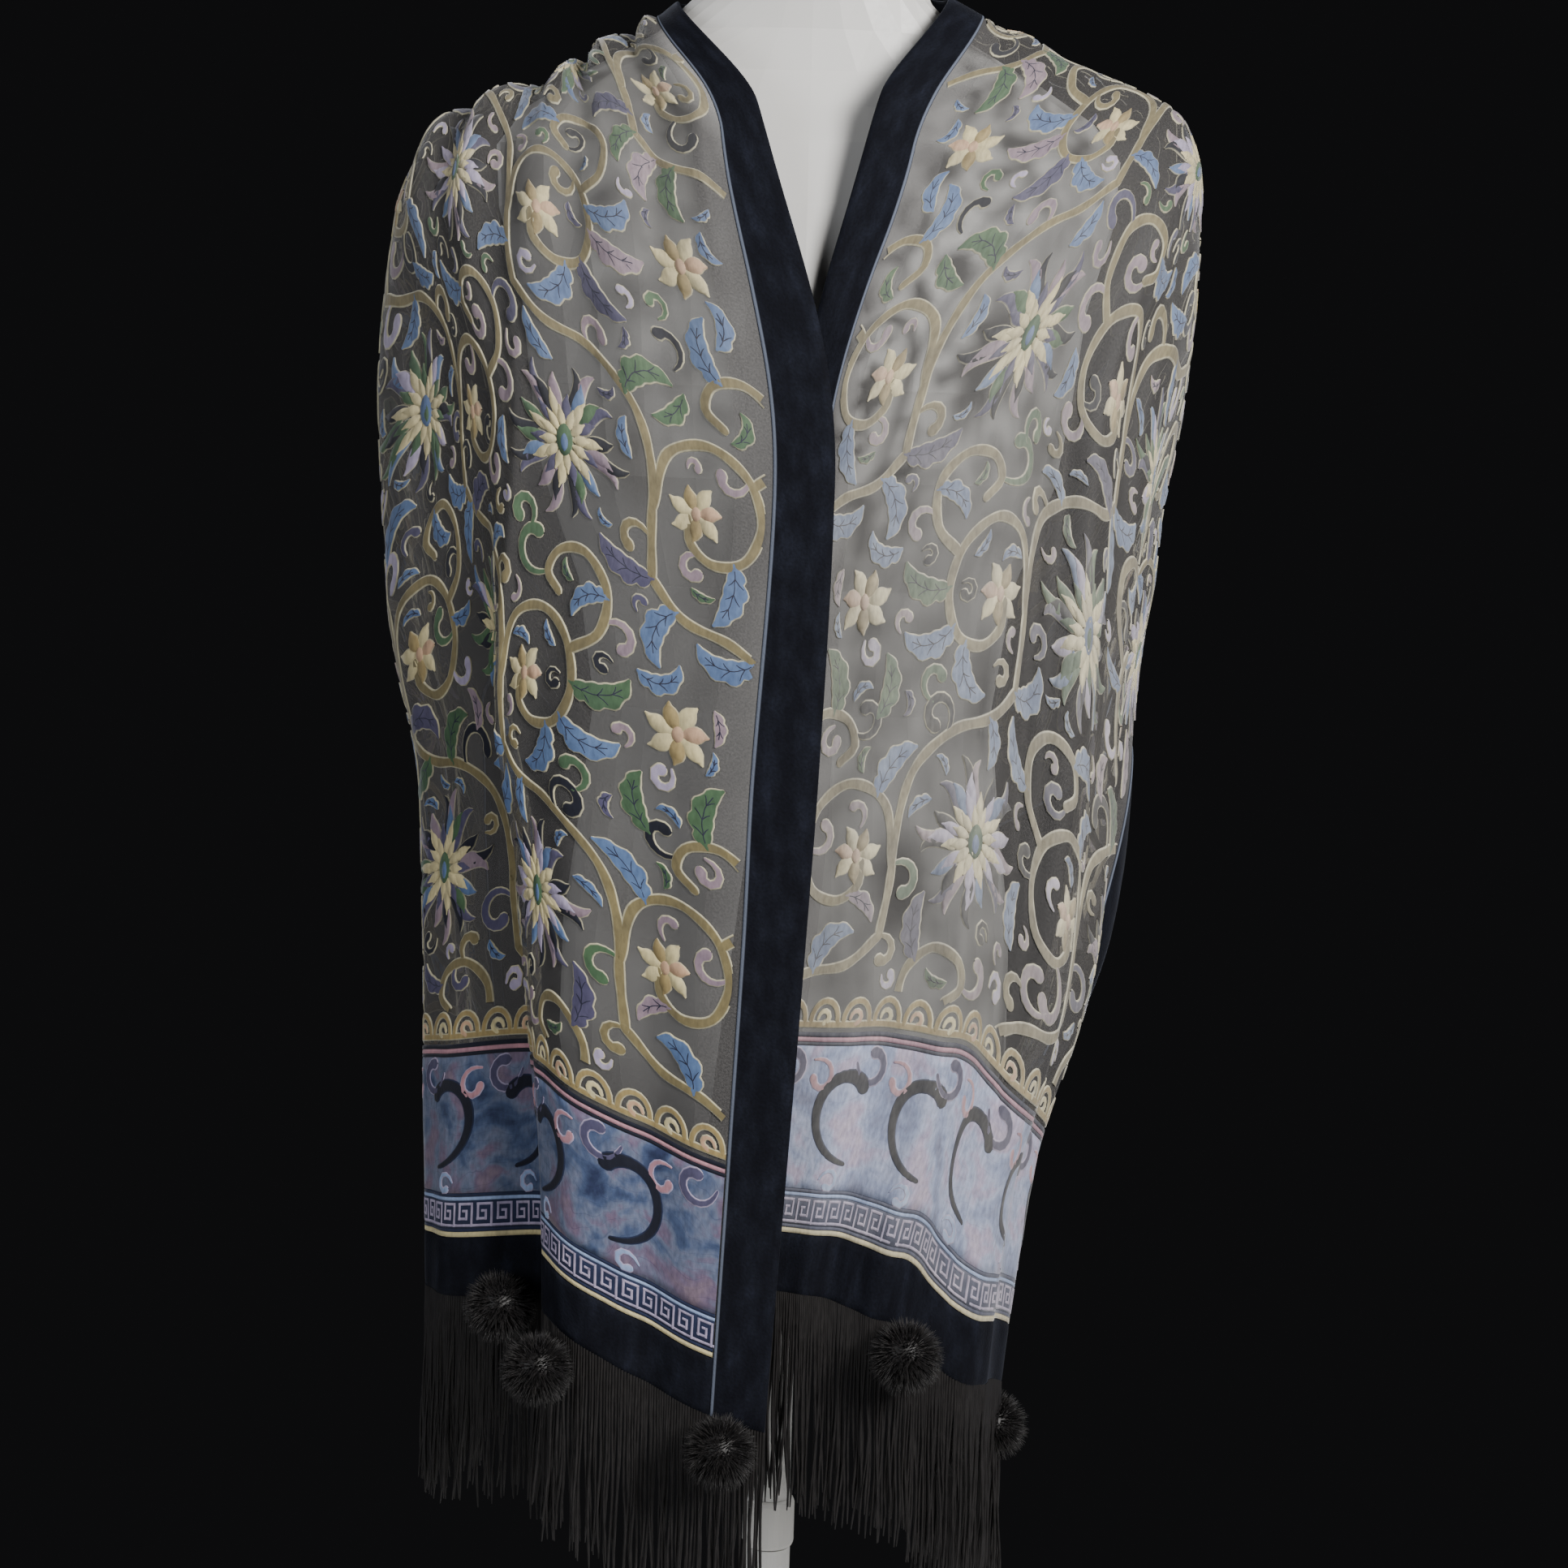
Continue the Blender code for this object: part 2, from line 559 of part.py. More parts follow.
def build_ends(collection, yarn, fur):
    """Fringe and fur balls of both ends."""
    for side, word, balls in ((-1, "left", LEFT_BALLS), (1, "right", RIGHT_BALLS)):
        points, out, down = hem_line(np.array([ball[0] for ball in balls]), side)
        shell, roots = fringe_strip(side)
        strip = bpy.data.meshes.new(f"fringe_{word}")
        shell.to_mesh(strip)
        walls = (strip, bpy.data.objects[f"hem_{word}"].data)
        centres = []
        for number, (*row, ball) in enumerate(zip(points, out, down, balls), start=1):
            name = f"fur_ball_{word}_{number}"
            mesh = ball_mesh(name)
            centres.append(seated_centre(mesh, walls, *row, *ball[1:]))
            mesh_object(name, mesh, fur, collection).location = centres[-1]
        hang_strands(shell, roots, centres)
        shell.to_mesh(strip)
        shell.free()
        mesh_object(f"fringe_{word}", strip, yarn, collection)


def build_form(collection, finish):
    """The torso and neck, a smooth loft through level oval sections."""
    table = np.array(FORM_SECTIONS)
    turns = np.arange(FORM_SIDES) * 2 * math.pi / FORM_SIDES
    body = bmesh.new()
    loops = []
    for height, half_width, front, behind in table:
        loop = []
        for turn in turns:
            depth = front if math.cos(turn) > 0 else behind
            place = (half_width * math.sin(turn), -depth * math.cos(turn), height)
            loop.append(body.verts.new(place))
        loops.append(loop)
    for lower, upper in zip(loops[:-1], loops[1:]):
        for i in range(FORM_SIDES):
            j = (i + 1) % FORM_SIDES
            body.faces.new((lower[i], lower[j], upper[j], upper[i]))
    body.faces.new(loops[0][::-1])
    body.faces.new(loops[-1])
    bmesh.ops.recalc_face_normals(body, faces=body.faces)
    mesh = bpy.data.meshes.new("dress_form")
    body.to_mesh(mesh)
    body.free()
    mesh.shade_smooth()
    mesh_object("dress_form", mesh, finish, collection)


def build_post(name, radius, bottom, top, bevel, finish, collection):
    """One upright round piece of the stand."""
    post = bmesh.new()
    bmesh.ops.create_cone(
        post, cap_ends=True, segments=STAND_SIDES, radius1=radius, radius2=radius, depth=top - bottom
    )
    mesh = bpy.data.meshes.new(name)
    post.to_mesh(mesh)
    post.free()
    thing = mesh_object(name, mesh, finish, collection)
    thing.location = (0, 0, (bottom + top) / 2)
    if bevel:
        rounding = thing.modifiers.new("rounded_rim", "BEVEL")
        rounding.width = bevel
        rounding.segments = 2
        rounding.limit_method = "ANGLE"
    return thing


def build_stand(collection, finish, metal):
    """Base plate, lower tube, collar and rod, one above the other."""
    form_bottom = FORM_SECTIONS[0][0]
    rod = (COLLAR_TOP + SEAM_GAP, form_bottom - SEAM_GAP)
    tube = (BASE_HEIGHT + SEAM_GAP, COLLAR_BOTTOM - SEAM_GAP)
    build_post("stand_base", BASE_RADIUS, 0, BASE_HEIGHT, BASE_BEVEL, finish, collection)
    build_post("stand_tube", TUBE_RADIUS, *tube, 0, finish, collection)
    build_post("stand_collar", COLLAR_RADIUS, COLLAR_BOTTOM, COLLAR_TOP, 0.003, metal, collection)
    build_post("stand_rod", ROD_RADIUS, *rod, 0, finish, collection)


def main():
    """Builds the scarf and the dress form that carries it."""
    collection = clear_scene()
    sheer = make_material("sheer_ground", SHEER_GREY, 0.6)
    print_pile = make_material("printed_pile", PRINT_BLUE, 0.7)
    velvet = make_material("edge_velvet", NAVY_BLACK, 0.8)
    yarn = make_material("fringe_yarn", FUR_BLACK, 0.6)
    fur = make_material("ball_fur", FUR_BLACK, 0.9)
    white = make_material("form_white", WHITE, 0.5)
    collar = make_material("collar_white", WHITE, 0.35)
    build_form(collection, white)
    build_stand(collection, white, collar)
    build_cloth(collection, sheer, print_pile, velvet)
    build_ends(collection, yarn, fur)


main()
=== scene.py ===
"""Dresses the burnout velvet scarf and its dress form for the camera.

The cloth keeps the drape of the solids, with finer folds. On it lie a sheer ground, a raised velvet
scroll of lotus flowers, leaves and tendrils, printed borders, velvet edges and hems, a yarn fringe and
fur balls. Metres throughout; the flat pattern is drawn in millimetres.
"""

import logging
import math
from dataclasses import dataclass, field, replace
from enum import Enum

import bmesh
import bpy
import numpy as np
from mathutils import Matrix, Vector


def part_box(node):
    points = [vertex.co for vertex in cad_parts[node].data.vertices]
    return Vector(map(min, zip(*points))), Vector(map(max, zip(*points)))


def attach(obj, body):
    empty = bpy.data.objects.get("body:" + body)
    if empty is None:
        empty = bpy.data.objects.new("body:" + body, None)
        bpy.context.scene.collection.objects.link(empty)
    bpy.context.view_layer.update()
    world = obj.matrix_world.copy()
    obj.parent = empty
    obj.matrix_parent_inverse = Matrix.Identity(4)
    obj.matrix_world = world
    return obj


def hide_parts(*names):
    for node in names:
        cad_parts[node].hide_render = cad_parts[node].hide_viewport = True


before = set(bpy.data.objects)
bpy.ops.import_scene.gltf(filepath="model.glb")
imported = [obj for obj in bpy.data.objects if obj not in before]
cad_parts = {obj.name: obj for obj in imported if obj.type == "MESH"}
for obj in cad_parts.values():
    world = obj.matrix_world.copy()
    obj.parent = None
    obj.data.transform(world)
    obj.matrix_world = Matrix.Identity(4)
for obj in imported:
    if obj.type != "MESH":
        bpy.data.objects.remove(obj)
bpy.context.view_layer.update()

LOG = logging.getLogger("scarf")
BODY = "root"
MM = 0.001

Colour = tuple[float, float, float]


class End(Enum):
    """The two ends of the scarf, by the side that each hangs on."""

    LEFT = -1
    RIGHT = 1

    @property
    def word(self) -> str:
        """Name used in node names."""
        return self.name.lower()

class NodeSheet:
    """A small helper that wires a material's nodes."""

    def __init__(self, name: str) -> None:
        """Starts an empty material.

        Args:
            name: Name of the material.
        """
        self.material = bpy.data.materials.new(name)
        self.material.use_nodes = True
        self.tree = self.material.node_tree
        self.shader = self.tree.nodes["Principled BSDF"]

    def add(self, kind: str, **settings: object) -> bpy.types.Node:
        """Adds a node.

        Args:
            kind: Blender's name of the node type.
            settings: Properties to set, or sockets when the key starts with in_.

        Returns:
            The new node.
        """
        node = self.tree.nodes.new(kind)
        for key, value in settings.items():
            if key.startswith("in_"):
                node.inputs[key[3:].replace("_", " ")].default_value = value
            else:
                setattr(node, key, value)
        return node

    def wire(self, source: bpy.types.NodeSocket, target: bpy.types.NodeSocket) -> None:
        """Links one socket to another.

        Args:
            source: Output socket.
            target: Input socket.
        """
        self.tree.links.new(source, target)

    def set(self, **values: object) -> None:
        """Sets plain values on the shader's own sockets.

        Args:
            values: Socket names with underscores for spaces.
        """
        for key, value in values.items():
            self.shader.inputs[key.replace("_", " ")].default_value = value

    def noise(self, scale: float, detail: float = 2.0, stretch: tuple = (1, 1, 1), flat: bool = False):
        """Adds a noise pattern in metres.

        Args:
            scale: Waves for each metre.
            detail: Octaves.
            stretch: Scale along each axis.
            flat: Reads the cloth's flat coordinates instead of the place in space.

        Returns:
            The noise node's factor socket.
        """
        place = self.add("ShaderNodeTexCoord")
        mapping = self.add("ShaderNodeMapping")
        mapping.inputs["Scale"].default_value = stretch
        texture = self.add("ShaderNodeTexNoise", in_Scale=scale, in_Detail=detail)
        self.wire(place.outputs["UV" if flat else "Object"], mapping.inputs["Vector"])
        self.wire(mapping.outputs["Vector"], texture.inputs["Vector"])
        return texture.outputs["Fac"]

    def ramp(self, source: bpy.types.NodeSocket, stops: list) -> bpy.types.NodeSocket:
        """Adds a colour ramp.

        Args:
            source: Factor socket.
            stops: Place and colour of each stop.

        Returns:
            The ramp's colour socket.
        """
        node = self.add("ShaderNodeValToRGB")
        elements = node.color_ramp.elements
        while len(elements) < len(stops):
            elements.new(0.5)
        for element, (place, colour) in zip(elements, stops):
            element.position = place
            element.color = (*colour, 1) if len(colour) == 3 else colour
        self.wire(source, node.inputs["Fac"])
        return node.outputs["Color"]

    def mix(self, factor: object, first: object, second: object, mode: str = "MIX") -> bpy.types.NodeSocket:
        """Mixes two colours.

        Args:
            factor: Number or socket.
            first: Colour or socket.
            second: Colour or socket.
            mode: Blend type.

        Returns:
            The mixed colour socket.
        """
        node = self.add("ShaderNodeMix", data_type="RGBA", blend_type=mode)
        sockets = (node.inputs[0], node.inputs[6], node.inputs[7])
        for socket, value in zip(sockets, (factor, first, second)):
            if isinstance(value, bpy.types.NodeSocket):
                self.wire(value, socket)
            elif isinstance(value, tuple):
                socket.default_value = (*value, 1) if len(value) == 3 else value
            else:
                socket.default_value = value
        return node.outputs[2]

    def bump(self, height: bpy.types.NodeSocket, strength: float, distance: float) -> None:
        """Raises the surface by a height pattern.

        Args:
            height: Height socket.
            strength: Share of the effect.
            distance: Height in metres.
        """
        node = self.add("ShaderNodeBump", in_Strength=strength, in_Distance=distance)
        self.wire(height, node.inputs["Height"])
        self.wire(node.outputs["Normal"], self.shader.inputs["Normal"])


@dataclass(frozen=True)
class SheerFinish:
    """Sheer chiffon: a grey veil that lets what is behind show through."""

    name: str = "sheer_chiffon"
    colour: Colour = (0.105, 0.100, 0.098)
    alpha: float = 0.48

    def make(self) -> bpy.types.Material:
        """Builds the material.

        Returns:
            The material.
        """
        sheet = NodeSheet(self.name)
        grain = sheet.noise(900, 1, flat=True)
        cloudy = sheet.noise(14, 3, flat=True)
        base = sheet.ramp(cloudy, [(0.3, tuple(c * 0.86 for c in self.colour)), (0.75, tuple(c * 1.2 for c in self.colour))])
        sheet.wire(sheet.mix(0.35, base, sheet.ramp(grain, [(0.35, (0.05, 0.05, 0.05)), (0.65, (0.20, 0.19, 0.19))])),
                   sheet.shader.inputs["Base Color"])
        sheet.set(Roughness=0.62, Alpha=self.alpha, Sheen_Weight=0.25, Sheen_Roughness=0.4)
        sheet.shader.inputs["Sheen Tint"].default_value = (0.85, 0.84, 0.88, 1)
        sheet.bump(grain, 0.25, 0.0002)
        return sheet.material


@dataclass(frozen=True)
class PileFinish:
    """Cut velvet pile that takes its colour from each patch's tint attribute: the print, with painted sheen mixed in.
    """

    name: str
    sheen: float = 0.55
    roughness: float = 0.78
    streak: float = 0.5

    def make(self) -> bpy.types.Material:
        """Builds the material.

        Returns:
            The material.
        """
        sheet = NodeSheet(self.name)
        tint = sheet.add("ShaderNodeAttribute", attribute_name="tint").outputs["Color"]
        nap = sheet.noise(380, 3, stretch=(1.0, 0.45, 1.0), flat=True)
        patchy = sheet.noise(55, 3, flat=True)
        shade = sheet.ramp(nap, [(0.30, (0.62, 0.60, 0.60)), (0.52, (1.0, 1.0, 1.0)), (0.74, (1.35, 1.33, 1.28))])
        light = sheet.ramp(patchy, [(0.34, (0.80, 0.80, 0.84)), (0.66, (1.16, 1.14, 1.08))])
        colour = sheet.mix(self.streak, tint, shade, "MULTIPLY")
        sheet.wire(sheet.mix(0.7, colour, light, "MULTIPLY"), sheet.shader.inputs["Base Color"])
        sheet.set(Roughness=self.roughness, Sheen_Weight=self.sheen, Sheen_Roughness=0.35)
        sheet.shader.inputs["Sheen Tint"].default_value = (0.95, 0.95, 1.0, 1)
        sheet.shader.inputs["Specular IOR Level"].default_value = 0.25
        sheet.bump(nap, 0.5, 0.0004)
        return sheet.material


@dataclass(frozen=True)
class VelvetFinish:
    """Plain near-black velvet with a crushed nap, and a painted highlight added from the tint attribute."""

    name: str = "edge_velvet"
    dark: Colour = (0.0035, 0.004, 0.0075)
    light: Colour = (0.011, 0.013, 0.022)

    def make(self) -> bpy.types.Material:
        """Builds the material.

        Returns:
            The material.
        """
        sheet = NodeSheet(self.name)
        crush = sheet.noise(60, 4, stretch=(1.6, 0.7, 1.0), flat=True)
        nap = sheet.noise(600, 2, flat=True)
        base = sheet.ramp(crush, [(0.40, self.dark), (0.58, tuple(0.6 * c for c in self.light)), (0.72, self.light)])
        # Painted highlight: the tint attribute is added on top, pale along the edge next to the sheer ground.
        tint = sheet.add("ShaderNodeAttribute", attribute_name="tint").outputs["Color"]
        grained = sheet.mix(0.5, base, sheet.ramp(nap, [(0.3, (0.5, 0.5, 0.55)), (0.7, (1.5, 1.5, 1.6))]), "MULTIPLY")
        sheet.wire(sheet.mix(1.0, grained, tint, "ADD"), sheet.shader.inputs["Base Color"])
        sheet.set(Roughness=0.85, Sheen_Weight=0.09, Sheen_Roughness=0.30)
        sheet.shader.inputs["Sheen Tint"].default_value = (0.62, 0.68, 0.90, 1)
        sheet.shader.inputs["Specular IOR Level"].default_value = 0.15
        sheet.bump(nap, 0.6, 0.0004)
        return sheet.material


@dataclass(frozen=True)
class CloudFinish:
    """Printed border: marbled clouds of blue, lilac and rose."""

    name: str = "cloud_print"

    def make(self) -> bpy.types.Material:
        """Printed border: marbled clouds of blue, lilac and rose, with painted sheen that pales and brightens them.

        Returns:
            The material.
        """
        sheet = NodeSheet(self.name)
        place = sheet.add("ShaderNodeTexCoord")
        drift = sheet.add("ShaderNodeTexNoise", in_Scale=16, in_Detail=2)
        sheet.wire(place.outputs["UV"], drift.inputs["Vector"])
        warped = sheet.add("ShaderNodeVectorMath", operation="MULTIPLY_ADD")
        sheet.wire(drift.outputs["Color"], warped.inputs[0])
        warped.inputs[1].default_value = (0.06, 0.06, 0.06)
        sheet.wire(place.outputs["UV"], warped.inputs[2])
        marble = sheet.add("ShaderNodeTexNoise", in_Scale=42, in_Detail=5)
        sheet.wire(warped.outputs[0], marble.inputs["Vector"])
        hue = sheet.ramp(
            marble.outputs["Fac"],
            [(0.30, (0.045, 0.07, 0.19)), (0.42, (0.14, 0.21, 0.42)), (0.52, (0.32, 0.38, 0.58)),
             (0.60, (0.36, 0.27, 0.44)), (0.70, (0.46, 0.34, 0.45))],
        )
        bands = sheet.add("ShaderNodeTexWave", wave_type="RINGS", in_Scale=26, in_Distortion=9.0, in_Detail=2)
        sheet.wire(warped.outputs[0], bands.inputs["Vector"])
        lines = sheet.ramp(bands.outputs["Fac"], [(0.44, (1, 1, 1)), (0.50, (0.62, 0.60, 0.70)), (0.56, (1, 1, 1))])
        tint = sheet.add("ShaderNodeAttribute", attribute_name="tint").outputs["Color"]
        lined = sheet.mix(0.8, hue, lines, "MULTIPLY")
        # Painted sheen: the red channel of the tint attribute mixes the print towards a pale lilac grey.
        pale = sheet.mix(0.55, lined, (0.62, 0.63, 0.72))
        amount = sheet.add("ShaderNodeSeparateColor")
        sheet.wire(tint, amount.inputs[0])
        blended = sheet.mix(amount.outputs[0], lined, pale)
        nap = sheet.noise(420, 3, stretch=(1.0, 0.45, 1.0), flat=True)
        shade = sheet.ramp(nap, [(0.3, (0.66, 0.66, 0.68)), (0.7, (1.25, 1.24, 1.22))])
        shaded = sheet.mix(0.7, blended, shade, "MULTIPLY")
        # Painted light: the green channel of the tint attribute scales the brightness of the whole colour.
        depth = sheet.add("ShaderNodeCombineColor")
        for socket in depth.inputs[:3]:
            sheet.wire(amount.outputs[1], socket)
        sheet.wire(sheet.mix(1.0, shaded, depth.outputs[0], "MULTIPLY"), sheet.shader.inputs["Base Color"])
        sheet.set(Roughness=0.75, Sheen_Weight=0.5, Sheen_Roughness=0.35)
        sheet.shader.inputs["Specular IOR Level"].default_value = 0.25
        sheet.bump(nap, 0.5, 0.0004)
        return sheet.material


@dataclass(frozen=True)
class FibreFinish:
    """Black yarn or fur, a little lighter along some fibres."""

    name: str
    dark: Colour = (0.006, 0.005, 0.005)
    light: Colour = (0.018, 0.016, 0.016)
    roughness: float = 0.5

    def make(self) -> bpy.types.Material:
        """Builds the material.

        Returns:
            The material.
        """
        sheet = NodeSheet(self.name)
        strands = sheet.noise(700, 2, stretch=(1, 1, 0.2))
        sheet.wire(sheet.ramp(strands, [(0.35, self.dark), (0.72, self.light)]), sheet.shader.inputs["Base Color"])
        sheet.set(Roughness=self.roughness, Sheen_Weight=0.05, Sheen_Roughness=0.4)
        sheet.shader.inputs["Sheen Tint"].default_value = (0.8, 0.8, 0.9, 1)
        sheet.bump(strands, 0.3, 0.0003)
        return sheet.material


@dataclass(frozen=True)
class PaintFinish:
    """Smooth white surface of the form and its stand, with faint mottling."""

    name: str
    colour: Colour
    roughness: float

    def make(self) -> bpy.types.Material:
        """Builds the material.

        Returns:
            The material.
        """
        sheet = NodeSheet(self.name)
        mottle = sheet.noise(9, 4)
        grain = sheet.noise(420, 2)
        low, high = (tuple(c * k for c in self.colour) for k in (0.95, 1.02))
        sheet.wire(sheet.ramp(mottle, [(0.3, low), (0.7, high)]), sheet.shader.inputs["Base Color"])
        rough = sheet.ramp(grain, [(0.3, (self.roughness - 0.06,) * 3), (0.7, (self.roughness + 0.06,) * 3)])
        sheet.wire(rough, sheet.shader.inputs["Roughness"])
        sheet.bump(grain, 0.12, 0.0002)
        return sheet.material


@dataclass(frozen=True)
class FloorFinish:
    """Pale studio floor."""

    name: str = "pale_floor"
    colour: Colour = (0.62, 0.62, 0.61)

    def make(self) -> bpy.types.Material:
        """Builds the material.

        Returns:
            The material.
        """
        sheet = NodeSheet(self.name)
        mottle = sheet.noise(3, 3)
        low, high = (tuple(c * k for c in self.colour) for k in (0.96, 1.03))
        sheet.wire(sheet.ramp(mottle, [(0.3, low), (0.7, high)]), sheet.shader.inputs["Base Color"])
        sheet.set(Roughness=0.8)
        return sheet.material

def smooth_through(knots: list, values: np.ndarray, places: np.ndarray) -> np.ndarray:
    """Reads curves that pass through values at knots without overshooting them.

    Args:
        knots: Places of the values.
        values: Values, the first axis along the knots.
        places: Where to read.

    Returns:
        The values at the places.
    """
    knots = np.asarray(knots, float)
    values = np.asarray(values, float)
    step = np.diff(knots).reshape((-1,) + (1,) * (values.ndim - 1))
    slope = np.diff(values, axis=0) / step
    weight_a = (2 * step[1:] + step[:-1]) / 3
    weight_b = (step[1:] + 2 * step[:-1]) / 3
    same_way = slope[:-1] * slope[1:] > 0
    safe_a = np.where(same_way, slope[:-1], 1.0)
    safe_b = np.where(same_way, slope[1:], 1.0)
    tangent = np.zeros_like(values)
    tangent[1:-1] = np.where(same_way, (step[:-1] + step[1:]) / (weight_a / safe_a + weight_b / safe_b), 0.0)
    tangent[0] = slope[0]
    tangent[-1] = slope[-1]
    places = np.asarray(places, float)
    cell = np.clip(np.searchsorted(knots, places, side="right") - 1, 0, len(knots) - 2)
    shape = places.shape + (1,) * (values.ndim - 1)
    width = (knots[cell + 1] - knots[cell]).reshape(shape)
    share = ((places - knots[cell]) / (knots[cell + 1] - knots[cell])).reshape(shape)
    return (
        values[cell] * (1 + 2 * share) * (1 - share) ** 2
        + tangent[cell] * width * share * (1 - share) ** 2
        + values[cell + 1] * share**2 * (3 - 2 * share)
        + tangent[cell + 1] * width * share**2 * (share - 1)
    )


def bump(distance: np.ndarray) -> np.ndarray:
    """Gives a rounded bump, 1 in the middle and 0 from one unit away."""
    return np.where(np.abs(distance) < 1, np.cos(np.clip(distance, -1, 1) * math.pi / 2) ** 2, 0)


# Rings of the drape: drop from the neck, then depth and height in front, half width and height on the
# left, half width and height on the right, depth and height behind
RINGS = (
    (0.00, 0.055, 1.400, 0.075, 1.396, 0.075, 1.403, 0.072, 1.428),
    (0.07, 0.085, 1.337, 0.133, 1.356, 0.137, 1.373, 0.100, 1.364),
    (0.16, 0.112, 1.251, 0.211, 1.319, 0.214, 1.337, 0.126, 1.278),
    (0.21, 0.121, 1.202, 0.234, 1.276, 0.225, 1.290, 0.136, 1.229),
    (0.30, 0.131, 1.112, 0.242, 1.186, 0.222, 1.202, 0.146, 1.139),
    (0.44, 0.136, 0.972, 0.235, 1.046, 0.213, 1.062, 0.150, 0.999),
    (0.54, 0.136, 0.872, 0.217, 0.947, 0.207, 0.961, 0.148, 0.899),
    (0.63, 0.135, 0.782, 0.213, 0.857, 0.195, 0.873, 0.142, 0.810),
    (0.76, 0.133, 0.652, 0.209, 0.728, 0.155, 0.746, 0.130, 0.681),
    (0.95, 0.131, 0.462, 0.203, 0.536, 0.132, 0.556, 0.118, 0.491),
)

# Threads that run from a hem up over the shoulder to the nape: across, then the angle round from the
# front, the drop and the inset at the hem, the waist, the chest, the collar and the shoulder
LEFT_THREADS = (
    (0.00, (1, 0.805, 0), (-3.5, 0.460, 0), (-4.5, 0.280, 0), (12, 0.075, 0), (90, 0.000, 0)),
    (0.08, (21, 0.790, 0), (18, 0.465, 0), (14, 0.285, 0), (32, 0.095, 0), (90, 0.030, 0)),
    (0.15, (38, 0.780, 0), (38, 0.490, 0), (30, 0.290, 0), (47, 0.120, 0), (90, 0.065, 0)),
    (0.20, (43, 0.785, 0.026), (46, 0.500, 0.008), (41, 0.295, 0), (56, 0.145, 0), (90, 0.090, 0)),
    (0.25, (50, 0.795, 0.036), (50, 0.505, 0.030), (50, 0.305, 0.010), (64, 0.165, 0), (91, 0.12, 0)),
    (0.33, (78, 0.835, 0.004), (70, 0.530, 0.012), (64, 0.320, 0.014), (80, 0.200, 0), (97, 0.17, 0)),
    (0.38, (92, 0.840, 0), (89, 0.540, 0), (85, 0.345, 0), (94, 0.240, 0), (106, 0.215, 0)),
    (0.48, (112, 0.835, 0.010), (108, 0.540, 0.006), (110, 0.390, 0), (118, 0.33, 0), (130, 0.36, 0)),
    (0.60, (132, 0.800, 0), (124, 0.600, 0), (128, 0.520, 0), (136, 0.500, 0), (146, 0.530, 0)),
)
RIGHT_THREADS = (
    (0.00, (-16, 0.725, 0.013), (-6, 0.460, 0.013), (-1, 0.250, 0.012), (16, 0.07, 0), (90, 0.00, 0)),
    (0.08, (4, 0.730, 0.013), (12, 0.465, 0.012), (12, 0.270, 0.010), (33, 0.110, 0), (90, 0.05, 0)),
    (0.16, (23, 0.757, 0.004), (30, 0.480, 0.004), (30, 0.290, 0.002), (52, 0.14, 0), (90, 0.11, 0)),
    (0.24, (48, 0.840, 0), (46, 0.500, 0), (46, 0.310, 0), (70, 0.190, 0), (93, 0.180, 0)),
    (0.32, (80, 0.900, 0.001), (61, 0.515, 0.001), (62, 0.330, 0), (86, 0.250, 0), (100, 0.260, 0)),
    (0.35, (79, 0.898, 0.009), (63, 0.518, 0.010), (67, 0.34, 0.003), (90, 0.275, 0), (104, 0.29, 0)),
    (0.38, (74, 0.893, 0.020), (62, 0.520, 0.020), (72, 0.350, 0.007), (94, 0.300, 0), (108, 0.32, 0)),
    (0.45, (61, 0.880, 0.029), (66, 0.530, 0.028), (85, 0.390, 0.010), (103, 0.38, 0), (116, 0.39, 0)),
    (0.51, (67, 0.875, 0.043), (78, 0.560, 0.026), (95, 0.440, 0.005), (109, 0.46, 0), (122, 0.47, 0)),
    (0.60, (92, 0.860, 0.012), (96, 0.620, 0), (106, 0.560, 0), (116, 0.570, 0), (128, 0.575, 0)),
)

# Folds along the threads: across at the lower and upper end, half width, depth outward, start and end
# as shares of the run
LEFT_FOLDS = (
    (0.060, 0.050, 0.026, 0.005, 0.40, 0.94),
    (0.115, 0.105, 0.027, 0.007, 0.44, 0.94),
    (0.172, 0.160, 0.027, 0.007, 0.47, 0.94),
    (0.235, 0.220, 0.029, 0.007, 0.50, 0.94),
    (0.300, 0.282, 0.029, 0.006, 0.53, 0.92),
    (0.075, 0.090, 0.032, -0.005, -0.1, 0.42),
    (0.122, 0.125, 0.026, 0.004, -0.1, 0.50),
    (0.430, 0.420, 0.040, -0.010, -0.1, 0.75),
    (0.530, 0.520, 0.040, 0.007, -0.1, 0.85),
)
RIGHT_FOLDS = (
    (0.060, 0.060, 0.030, -0.004, -0.1, 0.50),
    (0.112, 0.110, 0.026, -0.006, -0.1, 0.30),
    (0.155, 0.150, 0.024, 0.006, -0.1, 0.34),
    (0.200, 0.196, 0.026, -0.008, -0.1, 0.62),
    (0.242, 0.240, 0.024, 0.005, -0.1, 0.72),
    (0.282, 0.280, 0.024, -0.004, -0.1, 0.72),
    (0.090, 0.080, 0.030, 0.006, 0.72, 0.96),
    (0.150, 0.140, 0.028, 0.008, 0.74, 0.96),
    (0.212, 0.200, 0.028, 0.006, 0.72, 0.95),
)
# Folds of the stretch behind: across, half width, depth outward
BACK_FOLDS = (
    (0.130, 0.034, 0.005),
    (0.215, 0.036, -0.006),
    (0.310, 0.036, 0.006),
    (0.420, 0.042, -0.007),
    (0.520, 0.040, 0.006),
)
BACK_FOLD_START = 0.74

